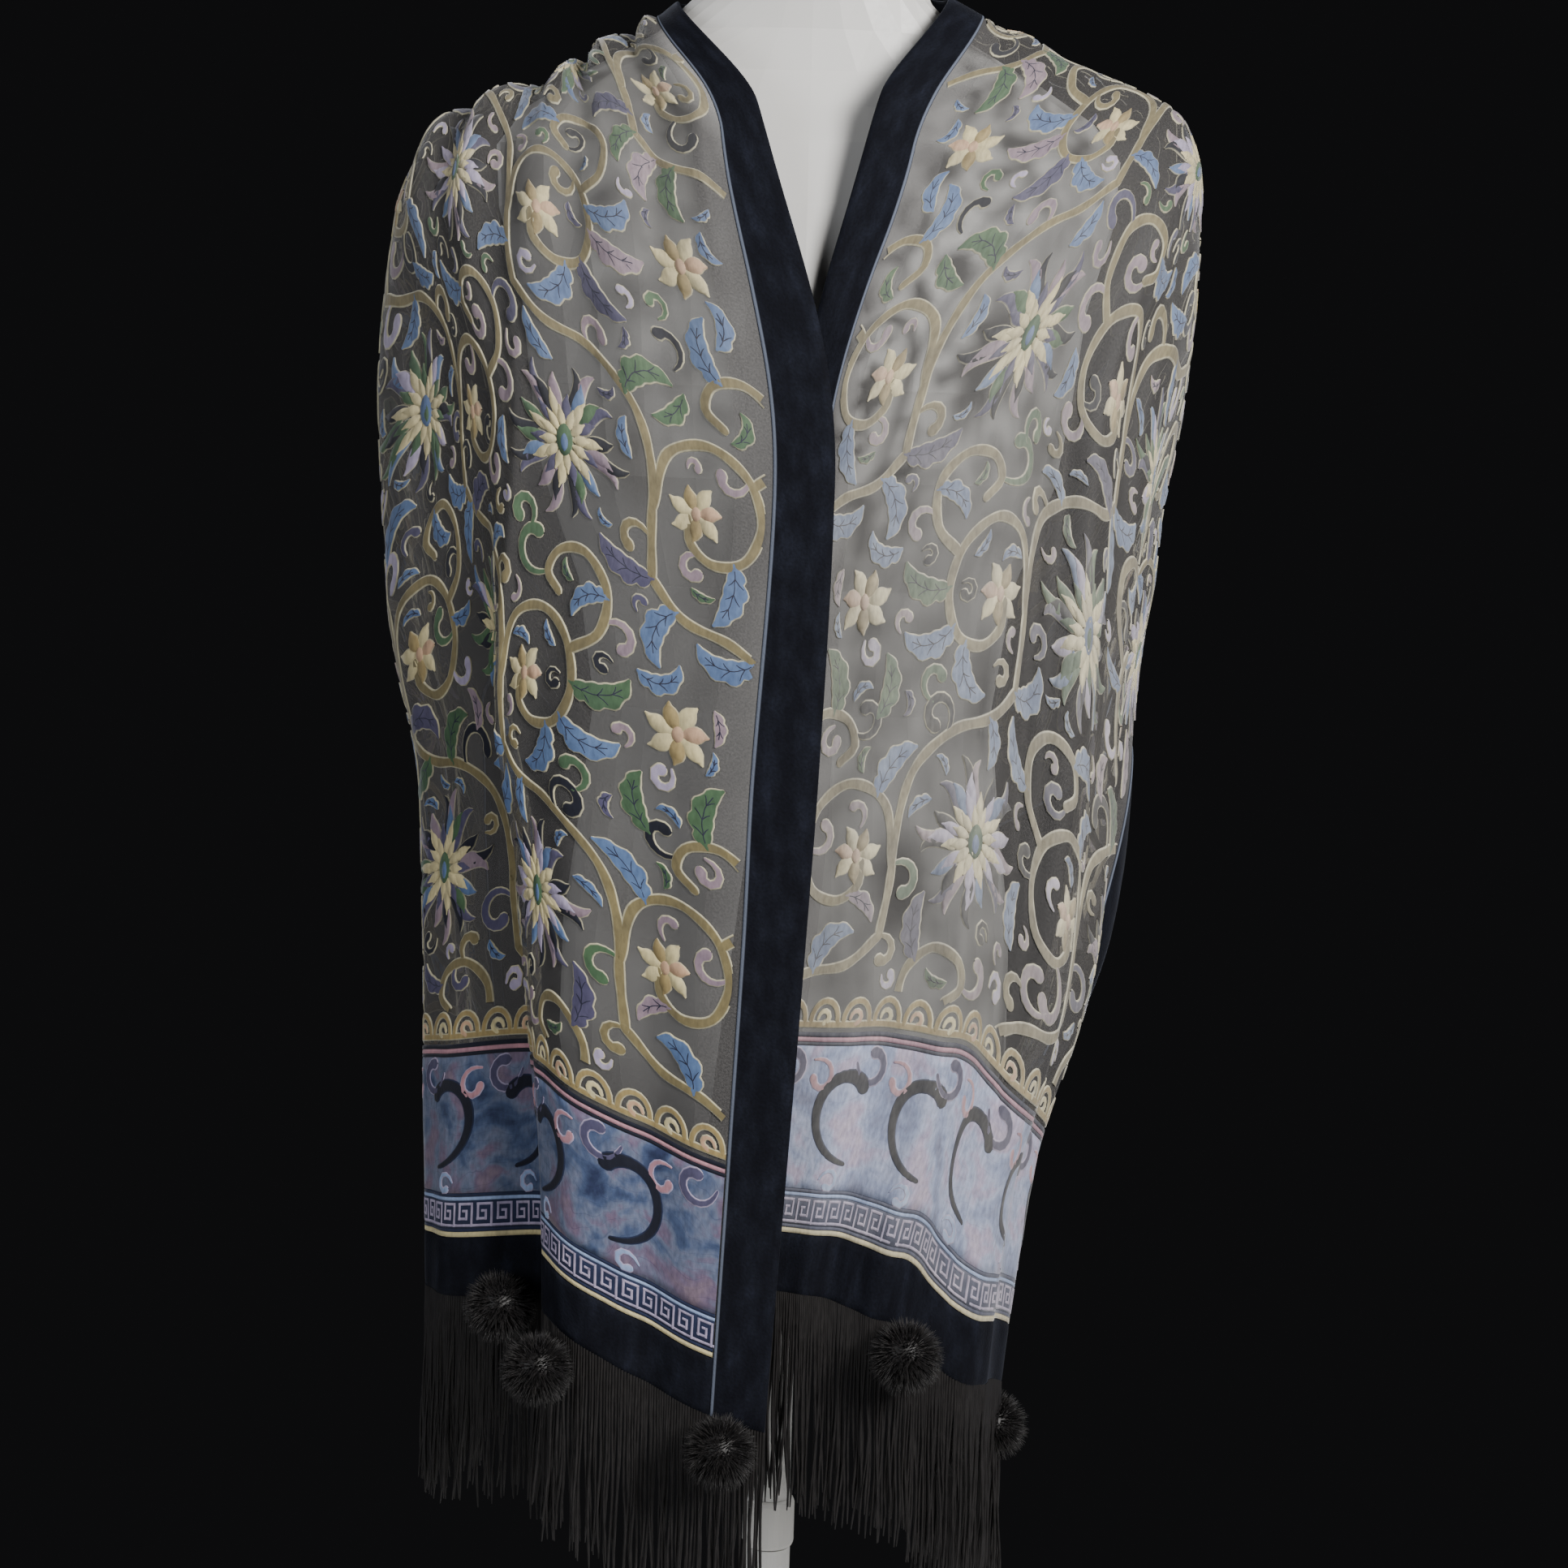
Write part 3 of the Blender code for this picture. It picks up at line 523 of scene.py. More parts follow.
# Narrow creases that the solids are too coarse for, in the same columns as the folds
LEFT_CREASES = (
    (0.055, 0.038, 0.010, 0.0026, 0.56, 0.97),
    (0.092, 0.070, 0.011, -0.0024, 0.52, 0.97),
    (0.135, 0.105, 0.011, 0.0028, 0.55, 0.96),
    (0.190, 0.150, 0.012, -0.0026, 0.58, 0.95),
    (0.255, 0.200, 0.013, 0.0028, 0.56, 0.95),
    (0.202, 0.190, 0.009, 0.0030, -0.2, 0.62),
    (0.080, 0.105, 0.018, 0.0020, -0.2, 0.34),
    (0.150, 0.160, 0.018, -0.0018, -0.2, 0.40),
    (0.360, 0.350, 0.016, 0.0020, -0.2, 0.60),
    (0.480, 0.470, 0.018, -0.0022, -0.2, 0.70),
)
RIGHT_CREASES = (
    (0.070, 0.060, 0.012, 0.0022, 0.76, 0.98),
    (0.118, 0.100, 0.012, -0.0026, 0.74, 0.98),
    (0.172, 0.150, 0.012, 0.0028, 0.72, 0.97),
    (0.236, 0.210, 0.014, -0.0026, 0.74, 0.97),
    (0.222, 0.218, 0.009, -0.0026, -0.2, 0.60),
    (0.262, 0.258, 0.010, 0.0024, -0.2, 0.62),
    (0.045, 0.080, 0.020, 0.0018, -0.2, 0.42),
    (0.135, 0.140, 0.016, -0.0020, -0.2, 0.32),
)


class Drape:
    """The middle surface of the draped cloth, as a function of across and along in metres."""

    WIDTH = 0.60
    LEFT_RUN = 0.955
    RIGHT_RUN = 0.875
    LENGTH = LEFT_RUN + RIGHT_RUN
    STEP = 0.005

    def __init__(self) -> None:
        """Works out the surface once on a fine grid, with its outward normals."""
        self.acrosses = np.linspace(0, self.WIDTH, round(self.WIDTH / self.STEP) + 1)
        self.alongs = np.linspace(0, self.LENGTH, round(self.LENGTH / self.STEP) + 1)
        smooth = self._smooth(self.acrosses, self.alongs)
        depth = self._depth(self.acrosses, self.alongs)
        self.points = smooth + self._normals(smooth) * depth[..., None]
        self.normals = self._normals(self.points)

    @staticmethod
    def _normals(points: np.ndarray) -> np.ndarray:
        """Gives the outward normals of a grid of points."""
        by_across = np.gradient(points, axis=0)
        by_along = np.gradient(points, axis=1)
        normal = np.cross(by_along, by_across)
        return normal / np.linalg.norm(normal, axis=-1, keepdims=True)

    @staticmethod
    def _ring_point(angle: np.ndarray, drop: np.ndarray, inset: np.ndarray, side: int) -> np.ndarray:
        """Places points on the rings of one side."""
        table = np.array(RINGS)
        ring = smooth_through(table[:, 0], table[:, 1:], drop)
        first = 2 if side < 0 else 4
        ahead = np.cos(np.radians(angle))
        depth = np.where(ahead > 0, -ring[..., 0], -ring[..., 6])
        end_height = np.where(ahead > 0, ring[..., 1], ring[..., 7])
        x = side * (ring[..., first] - inset) * np.sin(np.radians(angle))
        z = end_height * ahead**2 + ring[..., first + 1] * (1 - ahead**2)
        return np.stack((x, (depth + inset) * ahead, z), axis=-1)

    def _thread(self, row: tuple, side: int, shares: np.ndarray) -> np.ndarray:
        """Reads one thread's angle, drop and inset at shares of its run."""
        stops = np.array(row[1:] + ((180, row[0], 0),), float)
        lengths = [0.0]
        for start, end in zip(stops[:-1], stops[1:]):
            line = start + (end - start) * np.linspace(0, 1, 9)[:, None]
            points = self._ring_point(line[:, 0], line[:, 1], line[:, 2], side)
            lengths.append(lengths[-1] + np.linalg.norm(np.diff(points, axis=0), axis=1).sum())
        knots = np.array(lengths) / lengths[-1]
        knots = np.append(knots, 2 - knots[-2])
        stops = np.vstack((stops, (360 - stops[-2][0], stops[-2][1], stops[-2][2])))
        return smooth_through(knots, stops, shares)

    def _halves(self, alongs: np.ndarray) -> tuple:
        """Splits places along the cloth into each side's own shares."""
        left = alongs <= self.LEFT_RUN
        return (
            (left, alongs[left] / self.LEFT_RUN, -1),
            (~left, (self.LENGTH - alongs[~left]) / self.RIGHT_RUN, 1),
        )

    def _smooth(self, acrosses: np.ndarray, alongs: np.ndarray) -> np.ndarray:
        """Gives the drape with no folds."""
        points = np.zeros((len(acrosses), len(alongs), 3))
        for chosen, shares, side in self._halves(alongs):
            threads = LEFT_THREADS if side < 0 else RIGHT_THREADS
            paths = np.array([self._thread(row, side, shares) for row in threads])
            stops = smooth_through([row[0] for row in threads], paths, acrosses)
            points[:, chosen] = self._ring_point(stops[..., 0], stops[..., 1], stops[..., 2], side)
        return points

    def _depth(self, acrosses: np.ndarray, alongs: np.ndarray) -> np.ndarray:
        """Gives how far folds, creases and slight unevenness stand out."""
        depth = np.zeros((len(acrosses), len(alongs)))
        across = acrosses[:, None]
        for chosen, shares, side in self._halves(alongs):
            share = shares[None, :]
            part = np.zeros((len(acrosses), len(shares)))
            folds = LEFT_FOLDS + LEFT_CREASES if side < 0 else RIGHT_FOLDS + RIGHT_CREASES
            for low, high, width, height, start, end in folds:
                fade = 0.14
                middle = low + (high - low) * np.clip((share - start) / (end - start), 0, 1)
                rise = np.clip((share - start) / fade, 0, 1)
                fall = np.clip((end - share) / fade, 0, 1)
                ease = rise * rise * (3 - 2 * rise) * fall * fall * (3 - 2 * fall)
                part += height * ease * bump((across - middle) / width)
            back = np.clip((share - BACK_FOLD_START) / (1 - BACK_FOLD_START), 0, 1)
            for middle, width, height in BACK_FOLDS:
                part += height * back * back * (3 - 2 * back) * bump((across - middle) / width)
            depth[:, chosen] = part
        along = alongs[None, :]
        for number, (wide, long, size) in enumerate(((52, 9, 0.0005), (31, 17, 0.0005), (88, 6, 0.0003))):
            depth += size * np.sin(wide * across + 2.1 * np.sin(long * along + number)) * np.sin(
                long * along + 1.7 * number + 2 * np.sin(7 * across)
            )
        return depth

    def place(self, across: np.ndarray, along: np.ndarray, lift: np.ndarray | float = 0.0) -> np.ndarray:
        """Finds points on the cloth, or above it.

        Args:
            across: Distance from the neck edge.
            along: Distance from the left hem.
            lift: Height over the middle surface.

        Returns:
            Points in space.
        """
        i = np.clip(np.asarray(across) / self.STEP, 0, len(self.acrosses) - 1.000001)
        j = np.clip(np.asarray(along) / self.LENGTH * (len(self.alongs) - 1), 0, len(self.alongs) - 1.000001)
        a, b = i.astype(int), j.astype(int)
        u, v = (i - a)[..., None], (j - b)[..., None]

        def blend(grid: np.ndarray) -> np.ndarray:
            """Mixes the four corners round each place."""
            low = grid[a, b] * (1 - u) + grid[a + 1, b] * u
            high = grid[a, b + 1] * (1 - u) + grid[a + 1, b + 1] * u
            return low * (1 - v) + high * v

        normal = blend(self.normals)
        normal /= np.linalg.norm(normal, axis=-1, keepdims=True)
        return blend(self.points) + normal * np.asarray(lift)[..., None]

    def painted_sheen(self, along: np.ndarray) -> np.ndarray:
        """Painted sheen: how far the pile is painted paler where the light catches the nap, more on the right end, and
        high on the left one.
        """
        share = np.clip(along / self.LEFT_RUN, 0, 1)
        left = 0.03 + 0.36 * np.clip((share - 0.30) / 0.55, 0, 1) ** 1.2
        away = np.clip((self.LENGTH - along) / self.RIGHT_RUN, 0, 1)
        right = 0.60 - 0.42 * np.clip((away - 0.45) / 0.20, 0, 1) + 0.2 * np.clip((away - 0.75) / 0.2, 0, 1)
        return np.where(along < self.LEFT_RUN, left, right)

class Tint(Enum):
    """Colours of the printed pile, in linear light."""

    OLIVE = (0.200, 0.165, 0.080)
    GREEN = (0.060, 0.125, 0.062)
    BLUE = (0.095, 0.165, 0.330)
    SLATE = (0.075, 0.070, 0.140)
    MAUVE = (0.270, 0.200, 0.250)
    LILAC = (0.400, 0.350, 0.500)
    INK = (0.006, 0.008, 0.020)
    NAVY = (0.012, 0.020, 0.060)
    CREAM = (0.620, 0.540, 0.300)
    GOLD = (0.330, 0.250, 0.110)
    PEACH = (0.560, 0.360, 0.230)
    SKY = (0.300, 0.400, 0.640)
    ROSE = (0.460, 0.240, 0.290)
    RIM = (0.500, 0.470, 0.330)
    VEIN = (0.020, 0.022, 0.050)


@dataclass
class Ribbon:
    """One raised patch of pile: a centre line with a half width on each side.

    Attributes:
        kind: Family of the patch, which names the piece that it goes into.
        centre: Points in millimetres on the flat cloth, n by 2.
        left: Half width to the left of the heading at each point.
        right: Half width to the right.
        tint: Colour of the top.
        rim: Colour of the cut edge of the pile.
        layer: How many plies of pile lie below this one.
        edge: Width of the cut edge.
    """

    kind: str
    centre: np.ndarray
    left: np.ndarray
    right: np.ndarray
    tint: Tint
    rim: Tint = Tint.RIM
    layer: float = 0.0
    edge: float = 1.0

    def placed(self, x: float, y: float) -> "Ribbon":
        """Gives a copy moved by x and y."""
        return replace(self, centre=self.centre + (x, y))


class Pen:
    """Draws centre lines and rounds off their ends."""

    @staticmethod
    def through(points: object, step: float) -> np.ndarray:
        """Runs a smooth curve through points, evenly spaced by about a step."""
        points = np.asarray(points, float)
        padded = np.vstack((2 * points[0] - points[1], points, 2 * points[-1] - points[-2]))
        pieces = []
        for a, b, c, d in zip(padded[:-3], padded[1:-2], padded[2:-1], padded[3:]):
            t = np.linspace(0, 1, 17)[:-1, None]
            cubic = (2 * a - 5 * b + 4 * c - d) * t**2 + (3 * b - a - 3 * c + d) * t**3
            pieces.append(0.5 * (2 * b + (c - a) * t + cubic))
        line = np.vstack(pieces + [points[-1:]])
        length = np.concatenate(([0], np.cumsum(np.linalg.norm(np.diff(line, axis=0), axis=1))))
        places = np.linspace(0, length[-1], max(3, math.ceil(length[-1] / step) + 1))
        return np.stack([np.interp(places, length, line[:, i]) for i in range(2)], axis=-1)

    @staticmethod
    def turning(start: tuple, heading: float, length: float, turn: float, tighten: float, count: int) -> np.ndarray:
        """Walks from a start, turning by so many degrees in all, more sharply towards the end."""
        share = np.linspace(0, 1, count)
        angle = np.radians(heading + turn * share**tighten)
        middle = (angle[1:] + angle[:-1]) / 2
        path = np.cumsum(np.stack((np.cos(middle), np.sin(middle)), axis=-1), axis=0) * length / (count - 1)
        return np.vstack((np.zeros(2), path)) + np.asarray(start, float)

    @staticmethod
    def capped(ribbon: Ribbon, at_start: bool = True, at_end: bool = True) -> Ribbon:
        """Adds round caps to a ribbon's ends."""
        line, left, right = ribbon.centre, ribbon.left, ribbon.right
        if at_end:
            ahead = (line[-1] - line[-2]) / np.linalg.norm(line[-1] - line[-2])
            reach = (left[-1] + right[-1]) / 2 * np.array([0.55, 0.87, 0.99])
            line = np.vstack((line, line[-1] + reach[:, None] * ahead))
            left = np.append(left, left[-1] * np.array([0.83, 0.50, 0.14]))
            right = np.append(right, right[-1] * np.array([0.83, 0.50, 0.14]))
        if at_start:
            back = (line[0] - line[1]) / np.linalg.norm(line[0] - line[1])
            reach = (left[0] + right[0]) / 2 * np.array([0.97, 0.70])
            line = np.vstack((line[0] + reach[:, None] * back, line))
            left = np.append(left[0] * np.array([0.24, 0.71]), left)
            right = np.append(right[0] * np.array([0.24, 0.71]), right)
        return replace(ribbon, centre=line, left=left, right=right)


@dataclass(frozen=True)
class MotifBook:
    """Draws the plants of the scroll, each as a few ribbons of pile."""

    step: float = 3.3
    stem_width: float = 5.8
    thin: float = 0.45

    def stem(self, points: np.ndarray) -> Ribbon:
        """A long vine through points."""
        line = Pen.through(points, self.step)
        half = self.stem_width / 2 * (1 + 0.07 * np.sin(np.arange(len(line)) * 0.9))
        return Pen.capped(Ribbon("vine", line, half, half, Tint.OLIVE))

    def scroll(self, x: float, y: float, heading: float, size: float, turn: float, tint: Tint, width: float) -> list:
        """A tendril that swells and winds up into a round head."""
        count = max(7, round(size / self.step))
        line = Pen.turning((x, y), heading, size, turn, 1.4, count)
        share = np.linspace(0, 1, count)
        half = width / 2 * (0.36 + 0.64 * np.clip(share / 0.55, 0, 1) ** 0.8)
        half = half * (1 + 0.36 * np.clip((share - 0.80) / 0.2, 0, 1) ** 1.2)
        return [Pen.capped(Ribbon("scroll", line, half, half, tint, layer=-0.3))]

    def leaf(self, x: float, y: float, heading: float, size: float, turn: float, tint: Tint) -> list:
        """A bending leaf with round lobes and dark veins."""
        lobes = 3 if size < 26 else 4
        count = 4 * lobes + 2
        line = Pen.turning((x, y), heading, size, turn, 1.2, count)
        share = np.linspace(0, 1, count)
        swell = np.sin(math.pi * np.clip(0.06 + 0.90 * share**0.85, 0, 1)) ** 0.7
        lobe = np.abs(np.sin(math.pi * (share * lobes + 0.04)))
        outer = np.maximum(size * 0.27 * swell * (0.66 + 0.34 * lobe**0.7), 0.7)
        inner = np.maximum(size * 0.17 * swell * (0.86 + 0.14 * lobe), 0.7)
        left, right = (inner, outer) if turn > 0 else (outer, inner)
        made = [Pen.capped(Ribbon("leaf", line, left, right, tint, layer=-0.15))]
        tangent = np.gradient(line, axis=0)
        tangent /= np.linalg.norm(tangent, axis=1, keepdims=True)
        normal = np.stack((-tangent[:, 1], tangent[:, 0]), axis=-1)
        middle = line + normal * ((left - right) * 0.25)[:, None]
        thin = np.full(count - 4, self.thin)
        made.append(Ribbon("leaf", middle[1:-3], thin, thin, Tint.VEIN, Tint.VEIN, 0.4, 0.25))
        for index in range(3, count - 5, 4):
            for side, reach in ((1, left), (-1, right)):
                tip = middle[index + 2] + normal[index + 2] * side * reach[index + 2] * 0.62
                spine = np.array((middle[index], (middle[index] + tip) / 2 + tangent[index] * 0.5, tip))
                slim = np.array((self.thin, self.thin, 0.25))
                made.append(Ribbon("leaf", spine, slim, slim, Tint.VEIN, Tint.VEIN, 0.4, 0.2))
        return made

    @staticmethod
    def petal(angle: float, inner: float, outer: float, width: float, bend: float, tint: Tint, layer: float,
              tip: float = 0.30) -> Ribbon:
        """One pointed petal along a ray from the middle of a flower."""
        count = 6 if outer - inner < 14 else 8
        start = np.array((math.cos(angle), math.sin(angle))) * inner
        line = Pen.turning(start, math.degrees(angle) - bend * 0.45, outer - inner, bend, 1.8, count)
        share = np.linspace(0, 1, count)
        half = width / 2 * np.sin(math.pi * np.clip(share**0.9 * 0.94 + 0.04, 0, 1)) ** 0.7
        half = np.maximum(half * np.clip((1 - share) / tip, 0, 1) ** 0.5, 0.4)
        return Ribbon("flower", line, half, half, tint, Tint.RIM, layer, 0.8)

    def lotus(self, x: float, y: float, size: float, palette: tuple, spin: float) -> list:
        """A full lotus seen from above: rings of petals and an oval pod."""
        long_tints, short_tints, middle_tints, inner_tint, pod, eye = palette
        out = []
        for i in range(13):
            angle = spin + i * 2 * math.pi / 13
            bend = (85, -70, 95, -90, 65)[i % 5]
            tint = long_tints[i % len(long_tints)]
            out.append(self.petal(angle, size * 0.40, size * (1.06, 0.98)[i % 2], size * 0.17, bend, tint, 0, 0.14))
        for i in range(13):
            angle = spin + (i + 0.5) * 2 * math.pi / 13
            bend = (40, -35)[i % 2]
            tint = short_tints[i % len(short_tints)]
            out.append(self.petal(angle, size * 0.34, size * 0.80, size * 0.19, bend, tint, 0.5, 0.22))
        for i in range(14):
            angle = spin + (i + 0.3) * 2 * math.pi / 14
            tint = middle_tints[i % len(middle_tints)]
            out.append(self.petal(angle, size * 0.24, size * (0.62, 0.57)[i % 2], size * 0.165, 18, tint, 1.2))
        for i in range(12):
            angle = spin + (i + 0.25) * 2 * math.pi / 12
            out.append(self.petal(angle, size * 0.13, size * 0.42, size * 0.15, 0, inner_tint, 2.0))
        out += self.oval(size * 0.20, size * 0.145, 0, pod, 2.8)
        out += self.oval(size * 0.11, size * 0.075, -size * 0.03, eye, 3.6)
        return [ribbon.placed(x, y) for ribbon in out]

    @staticmethod
    def oval(length: float, width: float, shift: float, tint: Tint, layer: float) -> list:
        """An oval button of pile, upright."""
        share = np.cos(np.linspace(math.pi * 0.97, math.pi * 0.03, 9))
        half = np.maximum(np.sqrt(1 - share**2) * width, 0.4)
        spine = np.stack((np.zeros(9), share * length + shift), axis=-1)
        return [Ribbon("flower", spine, half, half, tint, Tint.RIM, layer, 0.8)]

    def blossom(self, x: float, y: float, size: float, petals: int = 7) -> list:
        """A small open flower."""
        out = []
        for i in range(petals):
            tint = (Tint.CREAM, Tint.GOLD, Tint.CREAM, Tint.PEACH)[i % 4]
            angle = 0.3 + i * 2 * math.pi / petals
            out.append(self.petal(angle, size * 0.12, size * (1.0, 0.88)[i % 2], size * 0.50, 30, tint, 0.6 * (i % 2)))
        out += self.oval(size * 0.22, size * 0.20, 0, Tint.PEACH, 1.4)
        return [ribbon.placed(x, y) for ribbon in out]


class ScrollLayout:
    """Fills the flat field with the scroll, so that nothing lies over anything else.

    The same layout serves both ends; the right one mirrors it at the nape.
    """

    COLUMN = 88.65
    ROW = 240.0
    FIRST_COLUMN = 68.0
    FIRST_ROW = 235.0
    FIELD = (46, 554, 158, 930)
    STEMS = (
        ((-60.65, -48), (-57, -22), (-55, 8), (-45, 36), (-20, 53), (8, 58), (28, 72)),
        ((32, 108), (25, 139), (2, 151), (-20, 141), (-29, 119), (-22, 98), (-5, 91), (9, 98), (11, 110)),
        ((-24, 137), (-38, 152), (-38, 174), (-22, 187), (-4, 183), (2, 170), (-8, 162)),
    )
    NIGHT = ((Tint.INK, Tint.MAUVE, Tint.SLATE), (Tint.GREEN, Tint.INK, Tint.MAUVE, Tint.BLUE),
             (Tint.CREAM, Tint.SLATE), Tint.CREAM, Tint.GREEN, Tint.BLUE)
    MEADOW = ((Tint.GREEN, Tint.SLATE, Tint.BLUE), (Tint.INK, Tint.LILAC, Tint.GREEN),
              (Tint.CREAM, Tint.GREEN), Tint.CREAM, Tint.BLUE, Tint.GREEN)
    DUSK = ((Tint.MAUVE, Tint.INK, Tint.SLATE), (Tint.LILAC, Tint.BLUE, Tint.INK),
            (Tint.LILAC, Tint.CREAM), Tint.CREAM, Tint.GREEN, Tint.BLUE)
    LEAF_TINTS = (Tint.BLUE, Tint.BLUE, Tint.SLATE, Tint.BLUE, Tint.MAUVE, Tint.BLUE, Tint.GREEN)
    SCROLL_TINTS = (Tint.MAUVE, Tint.GREEN, Tint.INK, Tint.MAUVE, Tint.SLATE, Tint.OLIVE, Tint.INK, Tint.LILAC)

    def __init__(self, seed: int) -> None:
        """Starts an empty field.

        Args:
            seed: Seed of the random choices.
        """
        self.taken = np.zeros((620, 940), bool)
        self.ribbons: list[Ribbon] = []
        self.random = np.random.default_rng(seed)
        self.book = MotifBook()

    @staticmethod
    def spots(ribbon: Ribbon, gap: float, cut: int = 0) -> np.ndarray:
        """Cells of one millimetre under a ribbon with a margin, from a place of its length on."""
        centre = ribbon.centre[cut:]
        tangent = np.gradient(centre, axis=0)
        tangent /= np.linalg.norm(tangent, axis=1, keepdims=True) + 1e-9
        normal = np.stack((-tangent[:, 1], tangent[:, 0]), axis=-1)
        low = centre - normal * (ribbon.right[cut:] + gap)[:, None]
        high = centre + normal * (ribbon.left[cut:] + gap)[:, None]
        points = low + (high - low) * np.linspace(0, 1, 8)[:, None, None]
        cells = np.concatenate([(points[:, 1:] * k + points[:, :-1] * (1 - k)).reshape(-1, 2) for k in (0.35, 0.7)]
                               + [points.reshape(-1, 2), centre[-1:] + tangent[-1:] * gap])
        return cells.astype(int)

    def clear(self, cells: np.ndarray, share: float) -> bool:
        """Tells whether cells are empty and mostly on the field."""
        low_x, high_x, low_y, high_y = self.FIELD
        x, y = cells[:, 0], cells[:, 1]
        on = (x > low_x) & (x < high_x) & (y > low_y) & (y < high_y)
        return on.mean() > share and not self.taken[x[on], y[on]].any()

    def stamp(self, ribbons: list) -> None:
        """Keeps ribbons and marks their cells."""
        for ribbon in ribbons:
            self.ribbons.append(ribbon)
            if ribbon.layer > 0.3 and ribbon.kind == "leaf":
                continue
            x, y = self.spots(ribbon, 0.3).T
            on = (x >= 0) & (y >= 0) & (x < self.taken.shape[0]) & (y < self.taken.shape[1])
            self.taken[x[on], y[on]] = True

    def grow(self) -> list:
        """Places flowers and stems by the lattice, then leaves and scrolls wherever there is room.

        Returns:
            The ribbons.
        """
        stems = []
        for column in range(-1, 7):
            for row in range(-1, 4):
                x = self.FIRST_COLUMN + column * self.COLUMN
                y = self.FIRST_ROW + row * self.ROW + (self.ROW / 2 if column % 2 == 0 else 0)
                palette = (self.NIGHT, self.MEADOW, self.DUSK)[(row + 2 * column) % 3]
                if column != 0:
                    self.stamp(self.book.lotus(x, y, 42, palette, 0.2 * (row % 3)))
                else:
                    self.stamp(self.book.blossom(x + 4, y, 19))
                self.stamp(self.book.blossom(x + 7, y + 114, 17))
                stems += [self.book.stem(np.array(points) + (x, y)) for points in self.STEMS]
        self.stamp(stems)
        hosts = stems
        for low, high, width, rounds in ((46, 62, 6.4, 3), (32, 46, 6.0, 4), (22, 32, 5.4, 3)):
            for _ in range(rounds):
                for host in hosts:
                    self.dress(host, low, high, width)
            hosts = stems + [ribbon for ribbon in self.ribbons if ribbon.kind == "scroll"]
        self.scatter()
        return self.ribbons

    def sprout(self, x: float, y: float, heading: float, size: float, width: float, skip: float) -> None:
        """Tries one leaf or scroll from a point."""
        way = self.random.choice((-1, 1))
        if self.random.random() < 0.45:
            size = min(size, 34)
            tint = self.LEAF_TINTS[self.random.integers(len(self.LEAF_TINTS))]
            made = self.book.leaf(x, y, heading, size, self.random.uniform(50, 115) * way, tint)
        else:
            tint = self.SCROLL_TINTS[self.random.integers(len(self.SCROLL_TINTS))]
            turn = self.random.uniform(230, 380) * (size / 55) ** 0.35
            made = self.book.scroll(x, y, heading, size, turn * way, tint, width)
        body = made[0]
        cut = int(len(body.centre) * skip / size) + (2 if skip else 0)
        quick = body.centre[cut:].astype(int)
        if len(quick) < 4 or not self.clear(quick, 0.8):
            return
        if self.clear(self.spots(body, 1.0, cut), 0.8):
            self.stamp(made)

    def dress(self, host: Ribbon, low: float, high: float, width: float) -> None:
        """Tries leaves and scrolls at places along one stem."""
        tangent = np.gradient(host.centre, axis=0)
        for index in range(2, len(host.centre) - 3, 2):
            x, y = host.centre[index]
            if not (20 < x < 580 and 140 < y < 930):
                continue
            lean = self.random.uniform(25, 80) * self.random.choice((-1, 1))
            heading = math.degrees(math.atan2(*tangent[index][::-1])) + lean
            self.sprout(x, y, heading, self.random.uniform(low, high), width, 5.0)

    def scatter(self) -> None:
        """Fills the gaps that are left with small loose scrolls and leaves."""
        for size_low, size_high, width in ((24, 36, 5.4), (15, 24, 4.6), (11, 16, 4.0)):
            free = np.argwhere(~self.taken[46:554, 158:925]) + (46, 158)
            for x, y in free[self.random.integers(len(free), size=4200)]:
                size = self.random.uniform(size_low, size_high)
                self.sprout(x + 0.5, y + 0.5, self.random.uniform(0, 360), size, width, 0.0)

def solid_object(name: str, points: np.ndarray, faces: np.ndarray, materials: list) -> bpy.types.Object:
    """Makes a smooth object that rides on the body.

    Args:
        name: Name of the object.
        points: Corners in space.
        faces: Corner numbers, all faces alike.
        materials: Materials of the object.

    Returns:
        The object.
    """
    sides = faces.shape[1]
    mesh = bpy.data.meshes.new(name)
    mesh.vertices.add(len(points))
    mesh.vertices.foreach_set("co", points.ravel())
    mesh.loops.add(faces.size)
    mesh.loops.foreach_set("vertex_index", faces.ravel())
    mesh.polygons.add(len(faces))
    mesh.polygons.foreach_set("loop_start", np.arange(len(faces)) * sides)
    mesh.polygons.foreach_set("use_smooth", np.ones(len(faces), bool))
    mesh.update(calc_edges=True)
    for material in materials:
        mesh.materials.append(material)
    thing = bpy.data.objects.new(name, mesh)
    bpy.context.scene.collection.objects.link(thing)
    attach(thing, BODY)
    LOG.info("%s: %d faces", name, len(faces))
    return thing


